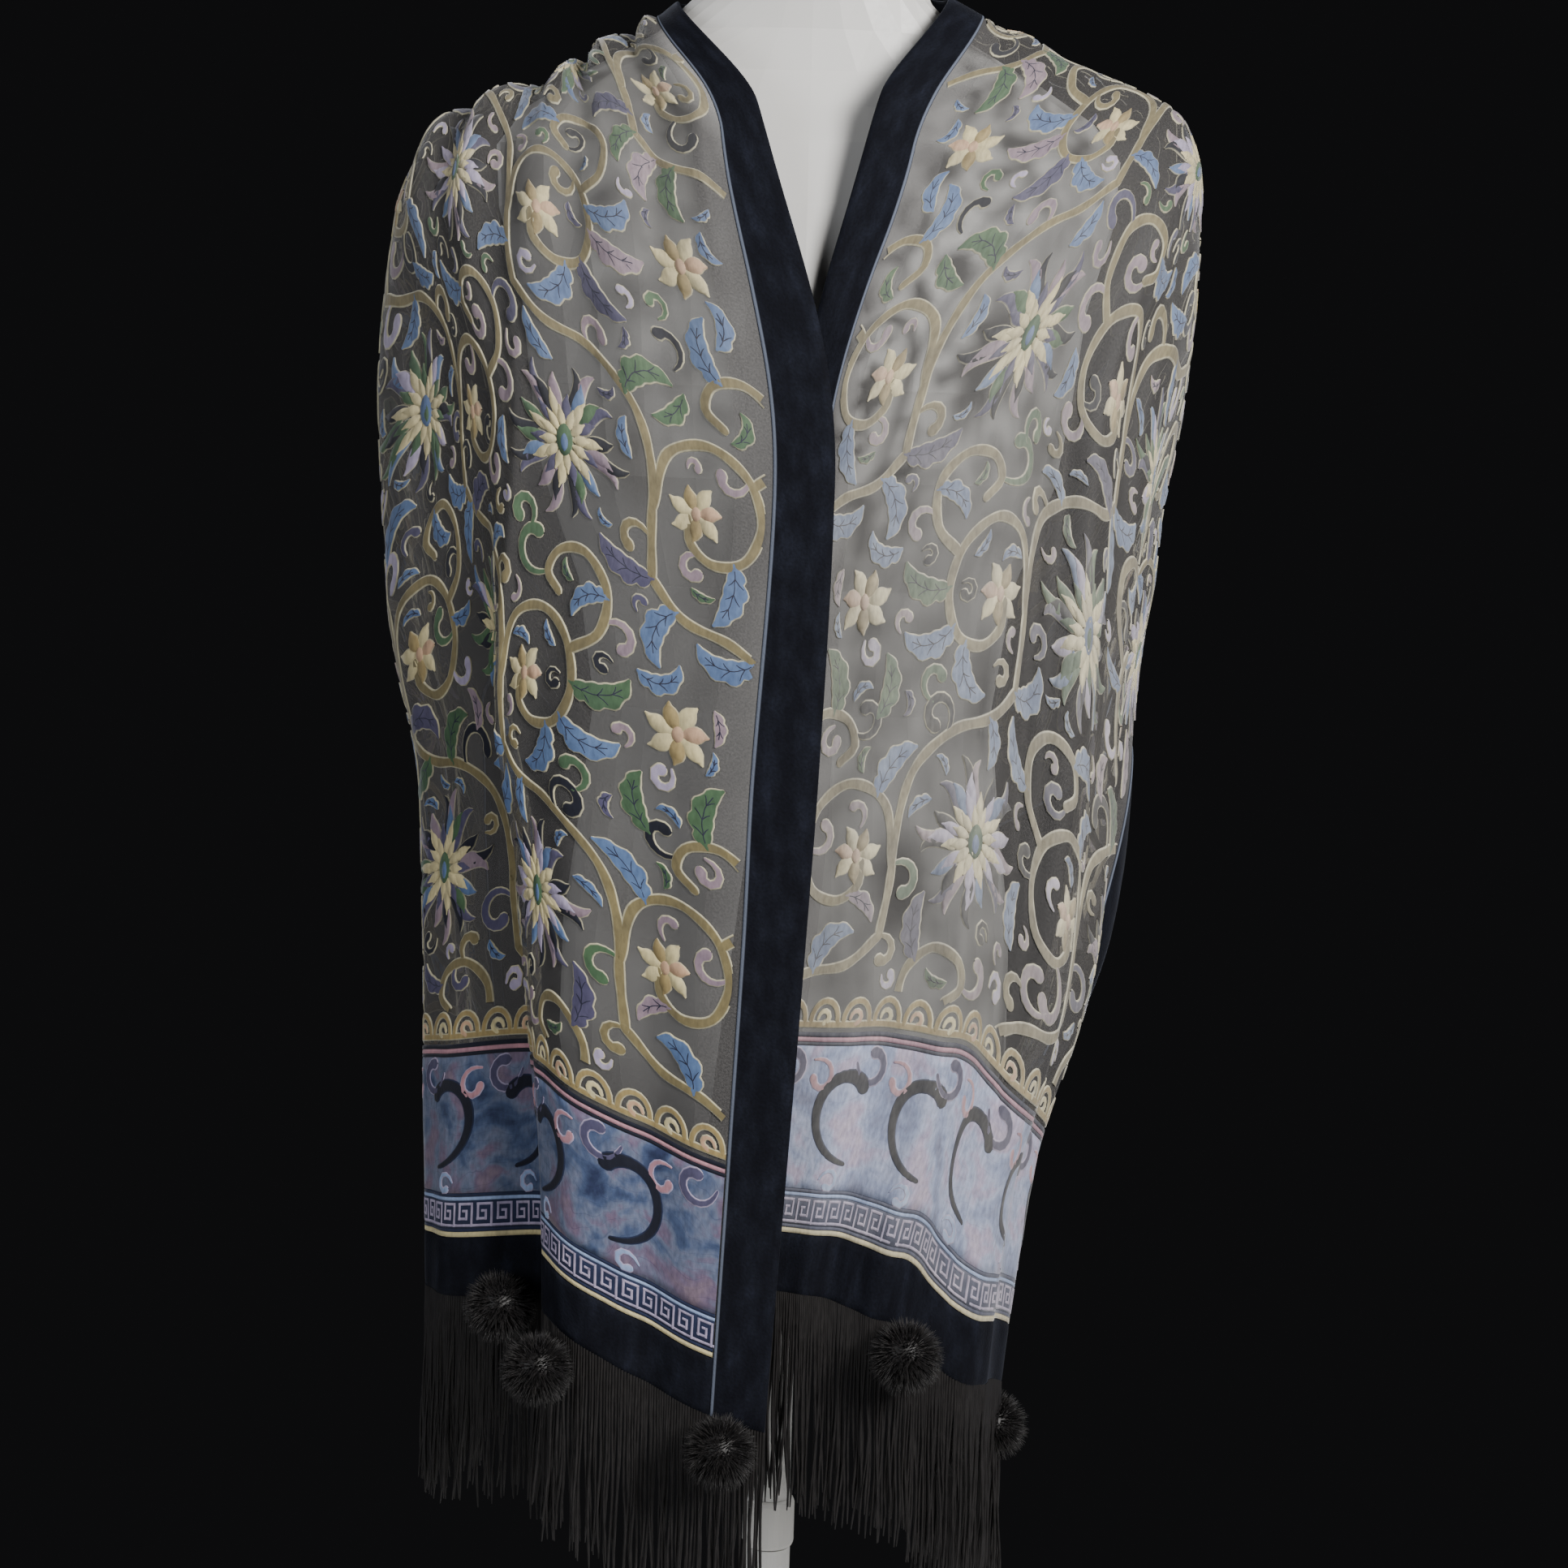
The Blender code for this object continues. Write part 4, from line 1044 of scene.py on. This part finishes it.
class Relief:
    """Gathers patches of the flat pattern and lifts them onto the drape as one mesh."""

    def __init__(self, drape: Drape) -> None:
        """Starts with no patches.

        Args:
            drape: The cloth's surface.
        """
        self.drape = drape
        self.flats: list[np.ndarray] = []
        self.lifts: list[np.ndarray] = []
        self.tints: list[np.ndarray] = []
        self.faces: list[np.ndarray] = []
        self.slots: list[np.ndarray] = []
        self.count = 0

    def patch(self, flat: np.ndarray, lift: np.ndarray, tint: np.ndarray, outside: bool = True, slot: int = 0) -> None:
        """Adds a grid of points.

        Args:
            flat: Places on the flat cloth in millimetres, n by m by 2.
            lift: Height over the middle of the cloth in millimetres, n by m.
            tint: Colours, n by m by 3.
            outside: Whether it faces away from the form.
            slot: Number of its material.
        """
        rows, columns = flat.shape[:2]
        index = np.arange(rows * columns).reshape(rows, columns)
        quads = np.stack((index[:-1, :-1], index[1:, :-1], index[1:, 1:], index[:-1, 1:]), axis=-1).reshape(-1, 4)
        corner = flat.reshape(-1, 2)[quads]
        one, two = corner[:, 2] - corner[:, 0], corner[:, 3] - corner[:, 1]
        inward = one[:, 0] * two[:, 1] - one[:, 1] * two[:, 0] > 0
        turned = inward if outside else ~inward
        quads[turned] = quads[turned][:, ::-1]
        self.faces.append(quads + self.count)
        self.slots.append(np.full(len(quads), slot))
        self.flats.append(flat.reshape(-1, 2))
        self.lifts.append(np.broadcast_to(lift, (rows, columns)).ravel())
        self.tints.append(np.broadcast_to(tint, (rows, columns, 3)).reshape(-1, 3))
        self.count += rows * columns

    def sheet(self, across: np.ndarray, along: np.ndarray, lift: np.ndarray, tint: np.ndarray, slot: int = 0,
              outside: bool = True) -> None:
        """Adds a patch over straight rows and columns in millimetres."""
        flat = np.stack(np.meshgrid(across, along, indexing="ij"), axis=-1)
        self.patch(flat, lift, tint, outside, slot)

    def shell(self, across: np.ndarray, along: np.ndarray, half: float, tint: np.ndarray) -> None:
        """Adds a closed strip of cloth with rounded edges."""
        round_off = np.ones((len(across), len(along))) * half
        round_off[[1, -2]] *= 0.8
        round_off[:, [1, -2]] = np.minimum(round_off[:, [1, -2]], 0.8 * half)
        round_off[[0, -1]] = 0
        round_off[:, [0, -1]] = 0
        self.sheet(across, along, round_off, tint)
        self.sheet(across, along, -round_off, tint, outside=False)

    def ribbon(self, ribbon: Ribbon, end: End, top: float = 0.95, base: float = 0.1, sheen_reach: float = 0.72) -> None:
        """Adds one raised patch of pile with pale sloping edges.

        Args:
            ribbon: The patch, drawn for the left end.
            end: End of the scarf that it lies on.
            top: Height of the pile.
            base: Height of its foot.
            sheen_reach: How far the painted sheen reaches, where the light catches the nap.
        """
        tangent = np.gradient(ribbon.centre, axis=0)
        tangent /= np.linalg.norm(tangent, axis=1, keepdims=True) + 1e-9
        normal = np.stack((-tangent[:, 1], tangent[:, 0]), axis=-1)
        left, right = ribbon.left, ribbon.right
        inset = np.minimum(ribbon.edge, 0.45 * np.minimum(left, right))
        high = top + 0.25 * ribbon.layer
        plain = ribbon.kind == "flower" or ribbon.edge < 0.5
        if plain:
            offsets = [-right, inset - right, left - inset, left]
            heights, inner = [base, high, high, base], (1, 2)
        elif ribbon.kind == "leaf":
            offsets = [-right, 0.4 * inset - right, inset - right, (left - right) / 2,
                       left - inset, left - 0.4 * inset, left]
            heights, inner = [base, high - 0.1, high, high + 0.1, high, high - 0.1, base], (2, 3, 4)
        else:
            offsets = [-right, 0.4 * inset - right, inset - right, left - inset, left - 0.4 * inset, left]
            heights, inner = [base, high - 0.1, high, high, high - 0.1, base], (2, 3)
        flat = ribbon.centre[:, None] + normal[:, None] * np.stack(offsets, axis=1)[..., None]
        tint = np.array([ribbon.tint.value if k in inner else ribbon.rim.value for k in range(len(offsets))])
        tint = np.broadcast_to(tint, flat.shape[:2] + (3,))
        if end is End.RIGHT:
            flat = np.stack((flat[..., 0], Drape.LENGTH / MM - flat[..., 1]), axis=-1)
        # Painted sheen: the colour is mixed towards a light cream where the light catches the nap, more on the right
        # end.
        pale = sheen_reach * self.drape.painted_sheen(flat[..., 1] * MM)[..., None]
        sheen_colour = np.array((0.60, 0.585, 0.545)) * (0.55 + 0.45 * tint.max(axis=-1, keepdims=True) / 0.6)
        self.patch(flat, np.broadcast_to(heights, flat.shape[:2]), tint * (1 - pale) + sheen_colour * pale)

    def keep(self, across: tuple, along: tuple) -> None:
        """Drops the faces that lie outside a window of the flat cloth in millimetres."""
        flat = np.concatenate(self.flats)
        faces = np.concatenate(self.faces)
        middle = flat[faces].mean(axis=1)
        inside = (middle > (across[0], along[0])).all(axis=1) & (middle < (across[1], along[1])).all(axis=1)
        self.slots = [np.concatenate(self.slots)[inside]]
        faces = faces[inside]
        used = np.unique(faces)
        renumber = np.zeros(len(flat), int)
        renumber[used] = np.arange(len(used))
        self.faces = [renumber[faces]]
        self.flats = [flat[used]]
        self.lifts = [np.concatenate(self.lifts)[used]]
        self.tints = [np.concatenate(self.tints)[used]]
        self.count = len(used)

    def build(self, name: str, materials: list, weld: bool = False) -> bpy.types.Object:
        """Makes the object.

        Args:
            name: Name of the object.
            materials: Materials by slot number.
            weld: Joins points that meet.

        Returns:
            The object.
        """
        flat = np.concatenate(self.flats)
        faces = np.concatenate(self.faces)
        points = self.drape.place(flat[:, 0] * MM, flat[:, 1] * MM, np.concatenate(self.lifts) * MM)
        thing = solid_object(name, points, faces, materials)
        mesh = thing.data
        mesh.polygons.foreach_set("material_index", np.concatenate(self.slots))
        layer = mesh.uv_layers.new(name="UVMap")
        layer.data.foreach_set("uv", (flat[faces.ravel()] * MM).ravel())
        tint = mesh.attributes.new("tint", "FLOAT_COLOR", "POINT")
        tint.data.foreach_set("color", np.column_stack((np.concatenate(self.tints), np.ones(len(flat)))).ravel())
        if weld:
            grid = bmesh.new()
            grid.from_mesh(mesh)
            bmesh.ops.remove_doubles(grid, verts=grid.verts, dist=1e-6)
            grid.to_mesh(mesh)
            grid.free()
        return thing

@dataclass
class Ground:
    """The sheer ground of the cloth, one open sheet with a closer strip beside each velvet edge.

    Attributes:
        step: Spacing of its points in millimetres.
        edge: Width of the velvet edge.
        hem: Width of the velvet hem.
        strip: Width of the closer strip.
    """

    step: float = 5.0
    edge: float = 34.0
    hem: float = 32.0
    strip: float = 20.0

    def build(self, drape: Drape) -> bpy.types.Object:
        """Makes the sheet in place of the field and border solids.

        Args:
            drape: The cloth's surface.

        Returns:
            The object.
        """
        width, length = Drape.WIDTH / MM, Drape.LENGTH / MM
        relief = Relief(drape)
        along = np.linspace(self.hem, length - self.hem, round((length - 2 * self.hem) / self.step) + 1)
        stops = (self.edge, self.edge + self.strip, width - self.edge - self.strip, width - self.edge)
        for low, high, slot in zip(stops[:-1], stops[1:], (1, 0, 1)):
            across = np.linspace(low, high, round((high - low) / self.step) + 1)
            relief.sheet(across, along, np.zeros(1), np.zeros(3), slot)
        closer = replace(SheerFinish(), name="close_chiffon", alpha=0.66)
        thing = relief.build("chiffon_ground", [SheerFinish().make(), closer.make()], weld=True)
        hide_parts("field_left", "field_right", "field_back", "border_left", "border_right")
        return thing


@dataclass
class VelvetBands:
    """The plain velvet along both long sides and across both hems.

    Attributes:
        edge: Width of the side bands.
        hem: Width of the hems. Not used.
        half: Half of the wall.
    """

    edge: float = 34.0
    hem: float = 32.0
    half: float = 1.0
    # Colour of a painted highlight along the edge of each side band next to the sheer ground, where the pile catches
    # the light.
    line: Colour = (0.14, 0.16, 0.21)

    def build(self, drape: Drape) -> list:
        """Makes the bands.

        Args:
            drape: The cloth's surface.

        Returns:
            The objects.
        """
        material = VelvetFinish().make()
        width, length = Drape.WIDTH / MM, Drape.LENGTH / MM
        columns = np.array((0, 0.7, 4, 10, 16, 22, 28, 31.6, 32.3, 33.4, 34))
        rows = np.concatenate(((0, 0.7), np.linspace(5, length - 5, 365), (length - 0.7, length)))
        tint = np.zeros((len(columns), len(rows), 3))
        # Painted highlight: two rows of points by the edge next to the sheer ground take the pale line colour.
        tint[-3:-1] = self.line
        things = []
        for word, across, colour in (("inner", columns, tint), ("outer", (width - columns)[::-1], tint[::-1])):
            relief = Relief(drape)
            relief.shell(across, rows, self.half, colour)
            thing = relief.build(f"velvet_edge_{word}", [material], weld=True)
            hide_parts(*(f"{word}_edge_{part}" for part in ("left", "back", "right")))
            things.append(thing)
        across = np.concatenate(((self.edge, self.edge + 0.7), np.linspace(39, width - 39, 105),
                                 (width - self.edge - 0.7, width - self.edge)))
        rows = np.array((0, 0.7, 4, 9, 14, 19, 24, 28, 31.3, 32))
        for end in End:
            relief = Relief(drape)
            along = rows if end is End.LEFT else length - rows
            relief.shell(across, along, self.half, np.zeros(3))
            thing = relief.build(f"velvet_hem_{end.word}", [material], weld=True)
            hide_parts(f"hem_{end.word}")
            things.append(thing)
        return things


@dataclass
class BorderPrint:
    """The printed border above each hem: lines, a key, marbled clouds with tendrils, and scallops.

    Attributes:
        low: Inner side of the left edge band.
        high: Inner side of the right edge band.
        stripes: Start, end, colour and height of each plain stripe, from the hem up.
        cloud: Start and end of the marbled band.
    """

    low: float = 34.5
    high: float = 565.5
    stripes: tuple = (
        (32.2, 35.0, Tint.CREAM), (35.0, 37.0, Tint.NAVY), (37.0, 52.0, Tint.NAVY), (52.0, 54.0, Tint.SKY),
        (54.0, 56.0, Tint.NAVY), (131.0, 133.0, Tint.INK), (133.0, 135.5, Tint.ROSE), (135.5, 138.0, Tint.INK),
    )
    cloud: tuple = (56.0, 131.0)

    def build(self, drape: Drape, end: End) -> bpy.types.Object:
        """Makes the border of one end.

        Args:
            drape: The cloth's surface.
            end: End of the scarf.

        Returns:
            The object.
        """
        relief = Relief(drape)
        across = np.linspace(self.low, self.high, 107)
        for start, stop, tint in self.stripes:
            self.stripe(relief, end, across, start, stop, tint.value, 0.75)
        self.clouds(relief, end, across)
        for ribbon in self.key() + self.tendrils() + self.scallops():
            lowered = ribbon.kind in ("key", "tendril")
            # The last number is how far the painted sheen reaches.
            relief.ribbon(ribbon, end, 1.0 if lowered else 0.85, 0.7 if lowered else 0.1, 0.45)
        materials = [PileFinish("border_pile").make(), CloudFinish().make()]
        return relief.build(f"border_print_{end.word}", materials)

    @staticmethod
    def flipped(along: np.ndarray, end: End) -> np.ndarray:
        """Counts from the hem of either end."""
        return along if end is End.LEFT else Drape.LENGTH / MM - along

    def stripe(self, relief: Relief, end: End, across: np.ndarray, start: float, stop: float, tint: Colour,
               top: float) -> None:
        """Adds one plain raised stripe."""
        count = max(2, round((stop - start - 0.5) / 4.5) + 1)
        along = np.concatenate(((start,), np.linspace(start + 0.2, stop - 0.2, count), (stop,)))
        lift = np.full(len(along), top)
        lift[[0, -1]] = 0.1
        # Painted sheen: the stripe is mixed towards a pale grey where the light catches the nap.
        pale = 0.45 * relief.drape.painted_sheen(self.flipped(along, end) * MM)[None, :, None]
        colour = np.array(tint) * (1 - pale) + np.array((0.42, 0.42, 0.46)) * pale
        relief.sheet(across, self.flipped(along, end), lift, colour)

    def clouds(self, relief: Relief, end: End, across: np.ndarray) -> None:
        """Adds the marbled band, whose material paints the clouds and the painted sheen on them."""
        start, stop = self.cloud
        along = np.concatenate(((start,), np.linspace(start + 0.2, stop - 0.2, 16), (stop,)))
        lift = np.full(len(along), 0.7)
        lift[[0, -1]] = 0.1
        # Painted sheen and painted light: the red channel says how far the clouds are paled, the green one how bright
        # they are drawn, both higher where the light catches the nap.
        pale = relief.drape.painted_sheen(self.flipped(along, end) * MM)
        colour = np.stack((1.2 * pale, 0.42 + 0.85 * pale, 0 * pale), axis=-1)[None]
        colour = np.broadcast_to(colour, (len(across), len(along), 3))
        relief.sheet(across, self.flipped(along, end), lift, colour, slot=1)

    def key(self) -> list:
        """Draws the running key."""
        unit, made = 12.07, []
        path = ((1.2, 38.6), (1.2, 50.2), (9.4, 50.2), (9.4, 42.2), (4.6, 42.2), (4.6, 46.4), (6.6, 46.4))
        legs = [*zip(path[:-1], path[1:]), ((0.0, 38.6), (unit, 38.6))]
        for number in range(44):
            for start, stop in legs:
                line = np.array((start, stop)) + (self.low + unit * number, 0)
                ahead = (line[1] - line[0]) / np.linalg.norm(line[1] - line[0])
                line = np.linspace(line[0] - ahead * 0.75, line[1] + ahead * 0.75, 3)
                half = np.full(3, 0.75)
                made.append(Ribbon("key", line, half, half, Tint.LILAC, Tint.LILAC, 0, 0.2))
        return made

    @staticmethod
    def tendrils() -> list:
        """Draws the dark curled commas that lie over the clouds, with small ones between."""
        book, made = MotifBook(), []
        for number in range(10):
            x = 44 + number * 58
            big = book.scroll(x + 56, 70, 168, 84, -215, Tint.INK, 7.0)
            small = book.scroll(x - 6, 122, -70, 42, 260, Tint.SLATE, 5.5)
            third = book.scroll(x + 22, 124, 10, 36, -270, Tint.ROSE, 4.2)
            fourth = book.scroll(x + 40, 62, 60, 26, -280, Tint.SKY, 3.6)
            for ribbon in big + small + third + fourth:
                inside = (ribbon.centre[:, 0] > 37) & (ribbon.centre[:, 0] < 563)
                if inside.all():
                    rim = Tint.NAVY if ribbon.tint is Tint.INK else Tint.LILAC
                    made.append(replace(ribbon, kind="tendril", rim=rim, layer=0.2))
        return made

    def scallops(self) -> list:
        """Draws the gold scallops above the border."""
        made, unit = [], 22.125
        line = np.stack((np.linspace(self.low, self.high, 108), np.full(108, 142.2)), axis=-1)
        half = np.full(108, 2.0)
        made.append(Ribbon("vine", line, half, half, Tint.GOLD))
        turn = np.linspace(0, math.pi, 11)
        for number in range(24):
            x = self.low + unit * (number + 0.5)
            arch = np.stack((x + 9.0 * np.cos(turn), 144.0 + 10.5 * np.sin(turn)), axis=-1)
            half = np.full(len(arch), 1.9)
            made.append(Pen.capped(Ribbon("vine", arch, half, half, Tint.GOLD)))
            turned = Pen.turning((x - 4.5, 145.5), 80, 15, -250, 1.2, 8)
            half = np.linspace(1.2, 2.0, 8)
            made.append(Pen.capped(Ribbon("vine", turned, half, half, (Tint.PEACH, Tint.CREAM)[number % 2])))
        return made


class PileScroll:
    """The raised velvet scroll over the whole field."""

    KINDS = (("vine",), ("scroll", "leaf"), ("flower",))
    NAMES = ("pile_vines", "pile_leaves", "pile_flowers")

    def __init__(self, seed: int = 3) -> None:
        """Lays the scroll out once for both ends.

        Args:
            seed: Seed of the layout.
        """
        self.ribbons = ScrollLayout(seed).grow()
        self.finish = PileFinish("print_pile").make()

    def build(self, drape: Drape, end: End) -> list:
        """Makes the scroll of one end.

        Args:
            drape: The cloth's surface.
            end: End of the scarf.

        Returns:
            The objects.
        """
        middle = 0.5 * Drape.LENGTH / MM
        window = (157.5, middle) if end is End.LEFT else (middle, Drape.LENGTH / MM - 157.5)
        things = []
        for name, kinds in zip(self.NAMES, self.KINDS):
            relief = Relief(drape)
            for ribbon in self.ribbons:
                if ribbon.kind in kinds:
                    relief.ribbon(ribbon, end)
            relief.keep((38.0, 562.0), window)
            things.append(relief.build(f"{name}_{end.word}", [self.finish]))
        return things


@dataclass
class Fringe:
    """Knotted yarn threads under one hem.

    Attributes:
        threads: How many there are.
        length: Their length.
        radius: Their radius.
        rings: Points along each.
    """

    threads: int = 340
    length: float = 0.128
    radius: float = 0.0008
    rings: int = 10

    def build(self, drape: Drape, end: End, material: bpy.types.Material) -> bpy.types.Object:
        """Makes the fringe in place of its solid.

        Args:
            drape: The cloth's surface.
            end: End of the scarf.
            material: Its finish.

        Returns:
            The object.
        """
        random = np.random.default_rng(11 if end is End.LEFT else 12)
        across = (np.arange(self.threads) + 0.5) / self.threads * Drape.WIDTH
        hem = 0.0 if end is End.LEFT else Drape.LENGTH
        root = drape.place(across, np.full(self.threads, hem))
        share = np.linspace(0, 1, self.rings)
        drop = share * (self.length * random.uniform(0.86, 1.0, (self.threads, 1)))
        phase = random.uniform(0, 2 * math.pi, (self.threads, 2, 1))
        sway = random.normal(0, 0.0022, (self.threads, 2, 1)) * share**1.3
        wave = 0.0011 * share * np.sin(share * random.uniform(5, 11, (self.threads, 1, 1)) + phase)
        path = np.zeros((self.threads, self.rings, 3))
        path[..., :2] = root[:, None, :2] + np.moveaxis(sway + wave, 1, 2)
        path[..., 2] = root[:, None, 2] + 0.0006 - drop
        thick = self.radius * np.where(share < 0.12, 1.5, 1.0) * np.where(share > 0.95, 0.4, 1.0)
        corner = np.radians((0, 90, 180, 270))
        ring = np.stack((np.cos(corner), np.sin(corner), 0 * corner), axis=-1)
        points = path[:, :, None] + ring * thick[None, :, None, None]
        index = np.arange(points[..., 0].size).reshape(self.threads, self.rings, 4)
        around = np.roll(index, -1, axis=2)
        faces = np.stack((index[:, :-1], index[:, 1:], around[:, 1:], around[:, :-1]), axis=-1).reshape(-1, 4)
        thing = solid_object(f"yarn_fringe_{end.word}", points.reshape(-1, 3), faces, [material])
        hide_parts(f"fringe_{end.word}")
        return thing


@dataclass
class FurBall:
    """A ball of black fur.

    Attributes:
        node: The solid that it stands for.
        core: Radius of the dark middle.
        hairs: How many hairs stand out of it.
        reach: Mean radius of their tips.
        thick: Radius of a hair's root.
    """

    node: str
    core: float = 0.0135
    hairs: int = 1600
    reach: float = 0.0218
    thick: float = 0.00036

    def build(self, material: bpy.types.Material, seed: int) -> bpy.types.Object:
        """Makes the ball where its solid is.

        Args:
            material: Its finish.
            seed: Seed of the hairs.

        Returns:
            The object.
        """
        low, high = (np.array(corner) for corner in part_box(self.node))
        middle = (low + high) / 2
        random = np.random.default_rng(seed)
        number = np.arange(self.hairs) + 0.5
        rise = 1 - 2 * number / self.hairs
        turn = number * math.pi * (1 + 5**0.5)
        flat = np.sqrt(1 - rise**2)
        way = np.stack((flat * np.cos(turn), flat * np.sin(turn), rise), axis=-1)
        way += random.normal(0, 0.05, way.shape)
        way /= np.linalg.norm(way, axis=1, keepdims=True)
        tufts = way[random.permutation(self.hairs)[:150]]
        nearest = tufts[np.argmax(way @ tufts.T, axis=1)]
        lean = way * 0.60 + nearest * 0.40 + random.normal(0, 0.09, way.shape) + (0, 0, -0.10)
        lean /= np.linalg.norm(lean, axis=1, keepdims=True)
        length = (self.reach - self.core) * random.uniform(0.75, 1.18, (self.hairs, 1))
        start = way * self.core * 0.96
        tip = start + lean * length + (0, 0, -0.0008)
        bend = (start + tip) / 2 + way * 0.0009
        side = np.cross(lean, (0.3, 0.5, 0.81))
        side /= np.linalg.norm(side, axis=1, keepdims=True)
        other = np.cross(lean, side)
        corner = np.radians((0, 120, 240))[:, None, None]
        ring = np.cos(corner) * side + np.sin(corner) * other
        points = np.concatenate(
            [start + ring * self.thick, bend + ring * self.thick * 0.75, tip + ring * self.thick * 0.12]
        )
        index = np.arange(9 * self.hairs).reshape(3, 3, self.hairs)
        around = np.roll(index, -1, axis=1)
        faces = np.stack((index[:-1], around[:-1], around[1:], index[1:]), axis=-1).reshape(-1, 4)
        sphere = bmesh.new()
        bmesh.ops.create_uvsphere(sphere, u_segments=20, v_segments=13, radius=self.core)
        bmesh.ops.delete(sphere, geom=[f for f in sphere.faces if len(f.verts) < 4], context="FACES")
        sphere.verts.ensure_lookup_table()
        round_points = np.array([v.co for v in sphere.verts])
        round_faces = np.array([[v.index for v in f.verts] for f in sphere.faces]) + 9 * self.hairs
        sphere.free()
        points = np.concatenate((points.reshape(-1, 3), round_points)) + middle
        thing = solid_object(self.node.replace("fur_ball", "fur_tuft"), points, np.concatenate((faces, round_faces)),
                             [material])
        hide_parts(self.node)
        return thing


class FormAndStand:
    """The dress form and its stand, which keep their solids and get finer finishes."""

    FINISHES = (
        ("dress_form", PaintFinish("form_shell", (0.80, 0.79, 0.77), 0.42)),
        ("stand_base", PaintFinish("base_paint", (0.78, 0.77, 0.75), 0.38)),
        ("stand_tube", PaintFinish("tube_paint", (0.76, 0.755, 0.74), 0.34)),
        ("stand_rod", PaintFinish("rod_paint", (0.78, 0.775, 0.76), 0.30)),
        ("stand_collar", PaintFinish("collar_paint", (0.72, 0.71, 0.69), 0.36)),
    )

    def dress(self) -> None:
        """Gives each solid its finish."""
        for node, finish in self.FINISHES:
            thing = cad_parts[node]
            material = finish.make()
            for slot in thing.material_slots:
                slot.material = material
            LOG.info("%s: finished", node)

@dataclass
class Studio:
    """Camera, lights and floor.

    Attributes:
        place: Where the camera stands.
        pitch: Degrees that it looks down.
        roll: Degrees that it is turned about its axis.
        lens: Focal length in millimetres on a 36 mm sensor.
        floor: Radius of the floor.
    """

    place: tuple = (-0.0035, -1.65, 1.141)
    pitch: float = 6.5
    roll: float = 1.68
    lens: float = 65.2
    floor: float = 1.1

    def camera(self) -> None:
        """Sets the camera up at the photograph's viewpoint."""
        pitch, roll = math.radians(self.pitch), math.radians(self.roll)
        forward = Vector((0, math.cos(pitch), -math.sin(pitch)))
        level = Vector((1, 0, 0))
        upright = level.cross(forward)
        right = level * math.cos(roll) + upright * math.sin(roll)
        up = upright * math.cos(roll) - level * math.sin(roll)
        data = bpy.data.cameras.new("camera")
        data.lens, data.sensor_width = self.lens, 36.0
        camera = bpy.data.objects.new("camera", data)
        bpy.context.scene.collection.objects.link(camera)
        turned = Matrix((right, up, -forward)).transposed().to_4x4()
        camera.matrix_world = Matrix.Translation(self.place) @ turned
        bpy.context.scene.camera = camera

    @staticmethod
    def light(name: str, place: tuple, aim: tuple, size: float, power: float, colour: Colour = (1, 1, 1)) -> None:
        """Adds a soft square light that faces a point."""
        data = bpy.data.lights.new(name, "AREA")
        data.size, data.energy, data.color = size, power, colour
        lamp = bpy.data.objects.new(name, data)
        bpy.context.scene.collection.objects.link(lamp)
        lamp.location = place
        lamp.rotation_euler = (Vector(aim) - Vector(place)).to_track_quat("-Z", "Y").to_euler()

    def build(self) -> None:
        """Builds the whole studio."""
        self.camera()
        self.light("key", (1.5, -1.9, 2.2), (0, 0, 1.1), 0.9, 105, (1.0, 0.985, 0.96))
        self.light("fill", (-1.9, -1.7, 1.5), (0, 0, 0.95), 1.5, 24, (0.95, 0.97, 1.0))
        self.light("rim_left", (-1.2, 1.5, 1.9), (0, 0, 1.0), 1.0, 12, (0.95, 0.97, 1.0))
        self.light("rim_right", (1.3, 1.4, 1.4), (0, 0, 0.9), 1.0, 12)
        world = bpy.data.worlds.new("studio")
        world.use_nodes = True
        world.node_tree.nodes["Background"].inputs["Color"].default_value = (0.006, 0.006, 0.0065, 1)
        bpy.context.scene.world = world
        grid = bmesh.new()
        bmesh.ops.create_circle(grid, cap_ends=True, segments=96, radius=self.floor)
        mesh = bpy.data.meshes.new("floor")
        grid.to_mesh(mesh)
        grid.free()
        mesh.materials.append(FloorFinish().make())
        floor = bpy.data.objects.new("floor", mesh)
        floor.location.z = -0.0005
        bpy.context.scene.collection.objects.link(floor)


def main() -> None:
    """Builds the looks of the scarf, the form and the studio."""
    logging.basicConfig(level=logging.INFO, format="%(message)s")
    Studio().build()
    FormAndStand().dress()
    drape = Drape()
    ground = Ground().build(drape)
    on_it = VelvetBands().build(drape)
    scroll = PileScroll()
    yarn = FibreFinish("fringe_yarn").make()
    fur = FibreFinish("fur_hair", light=(0.030, 0.027, 0.027)).make()
    for end in End:
        on_it.append(BorderPrint().build(drape, end))
        on_it += scroll.build(drape, end)
        on_it.append(Fringe().build(drape, end, yarn))
        for number in range(1, 6):
            on_it.append(FurBall(f"fur_ball_{end.word}_{number}").build(fur, 20 * end.value + number + 50))


if __name__ == "__main__":
    main()
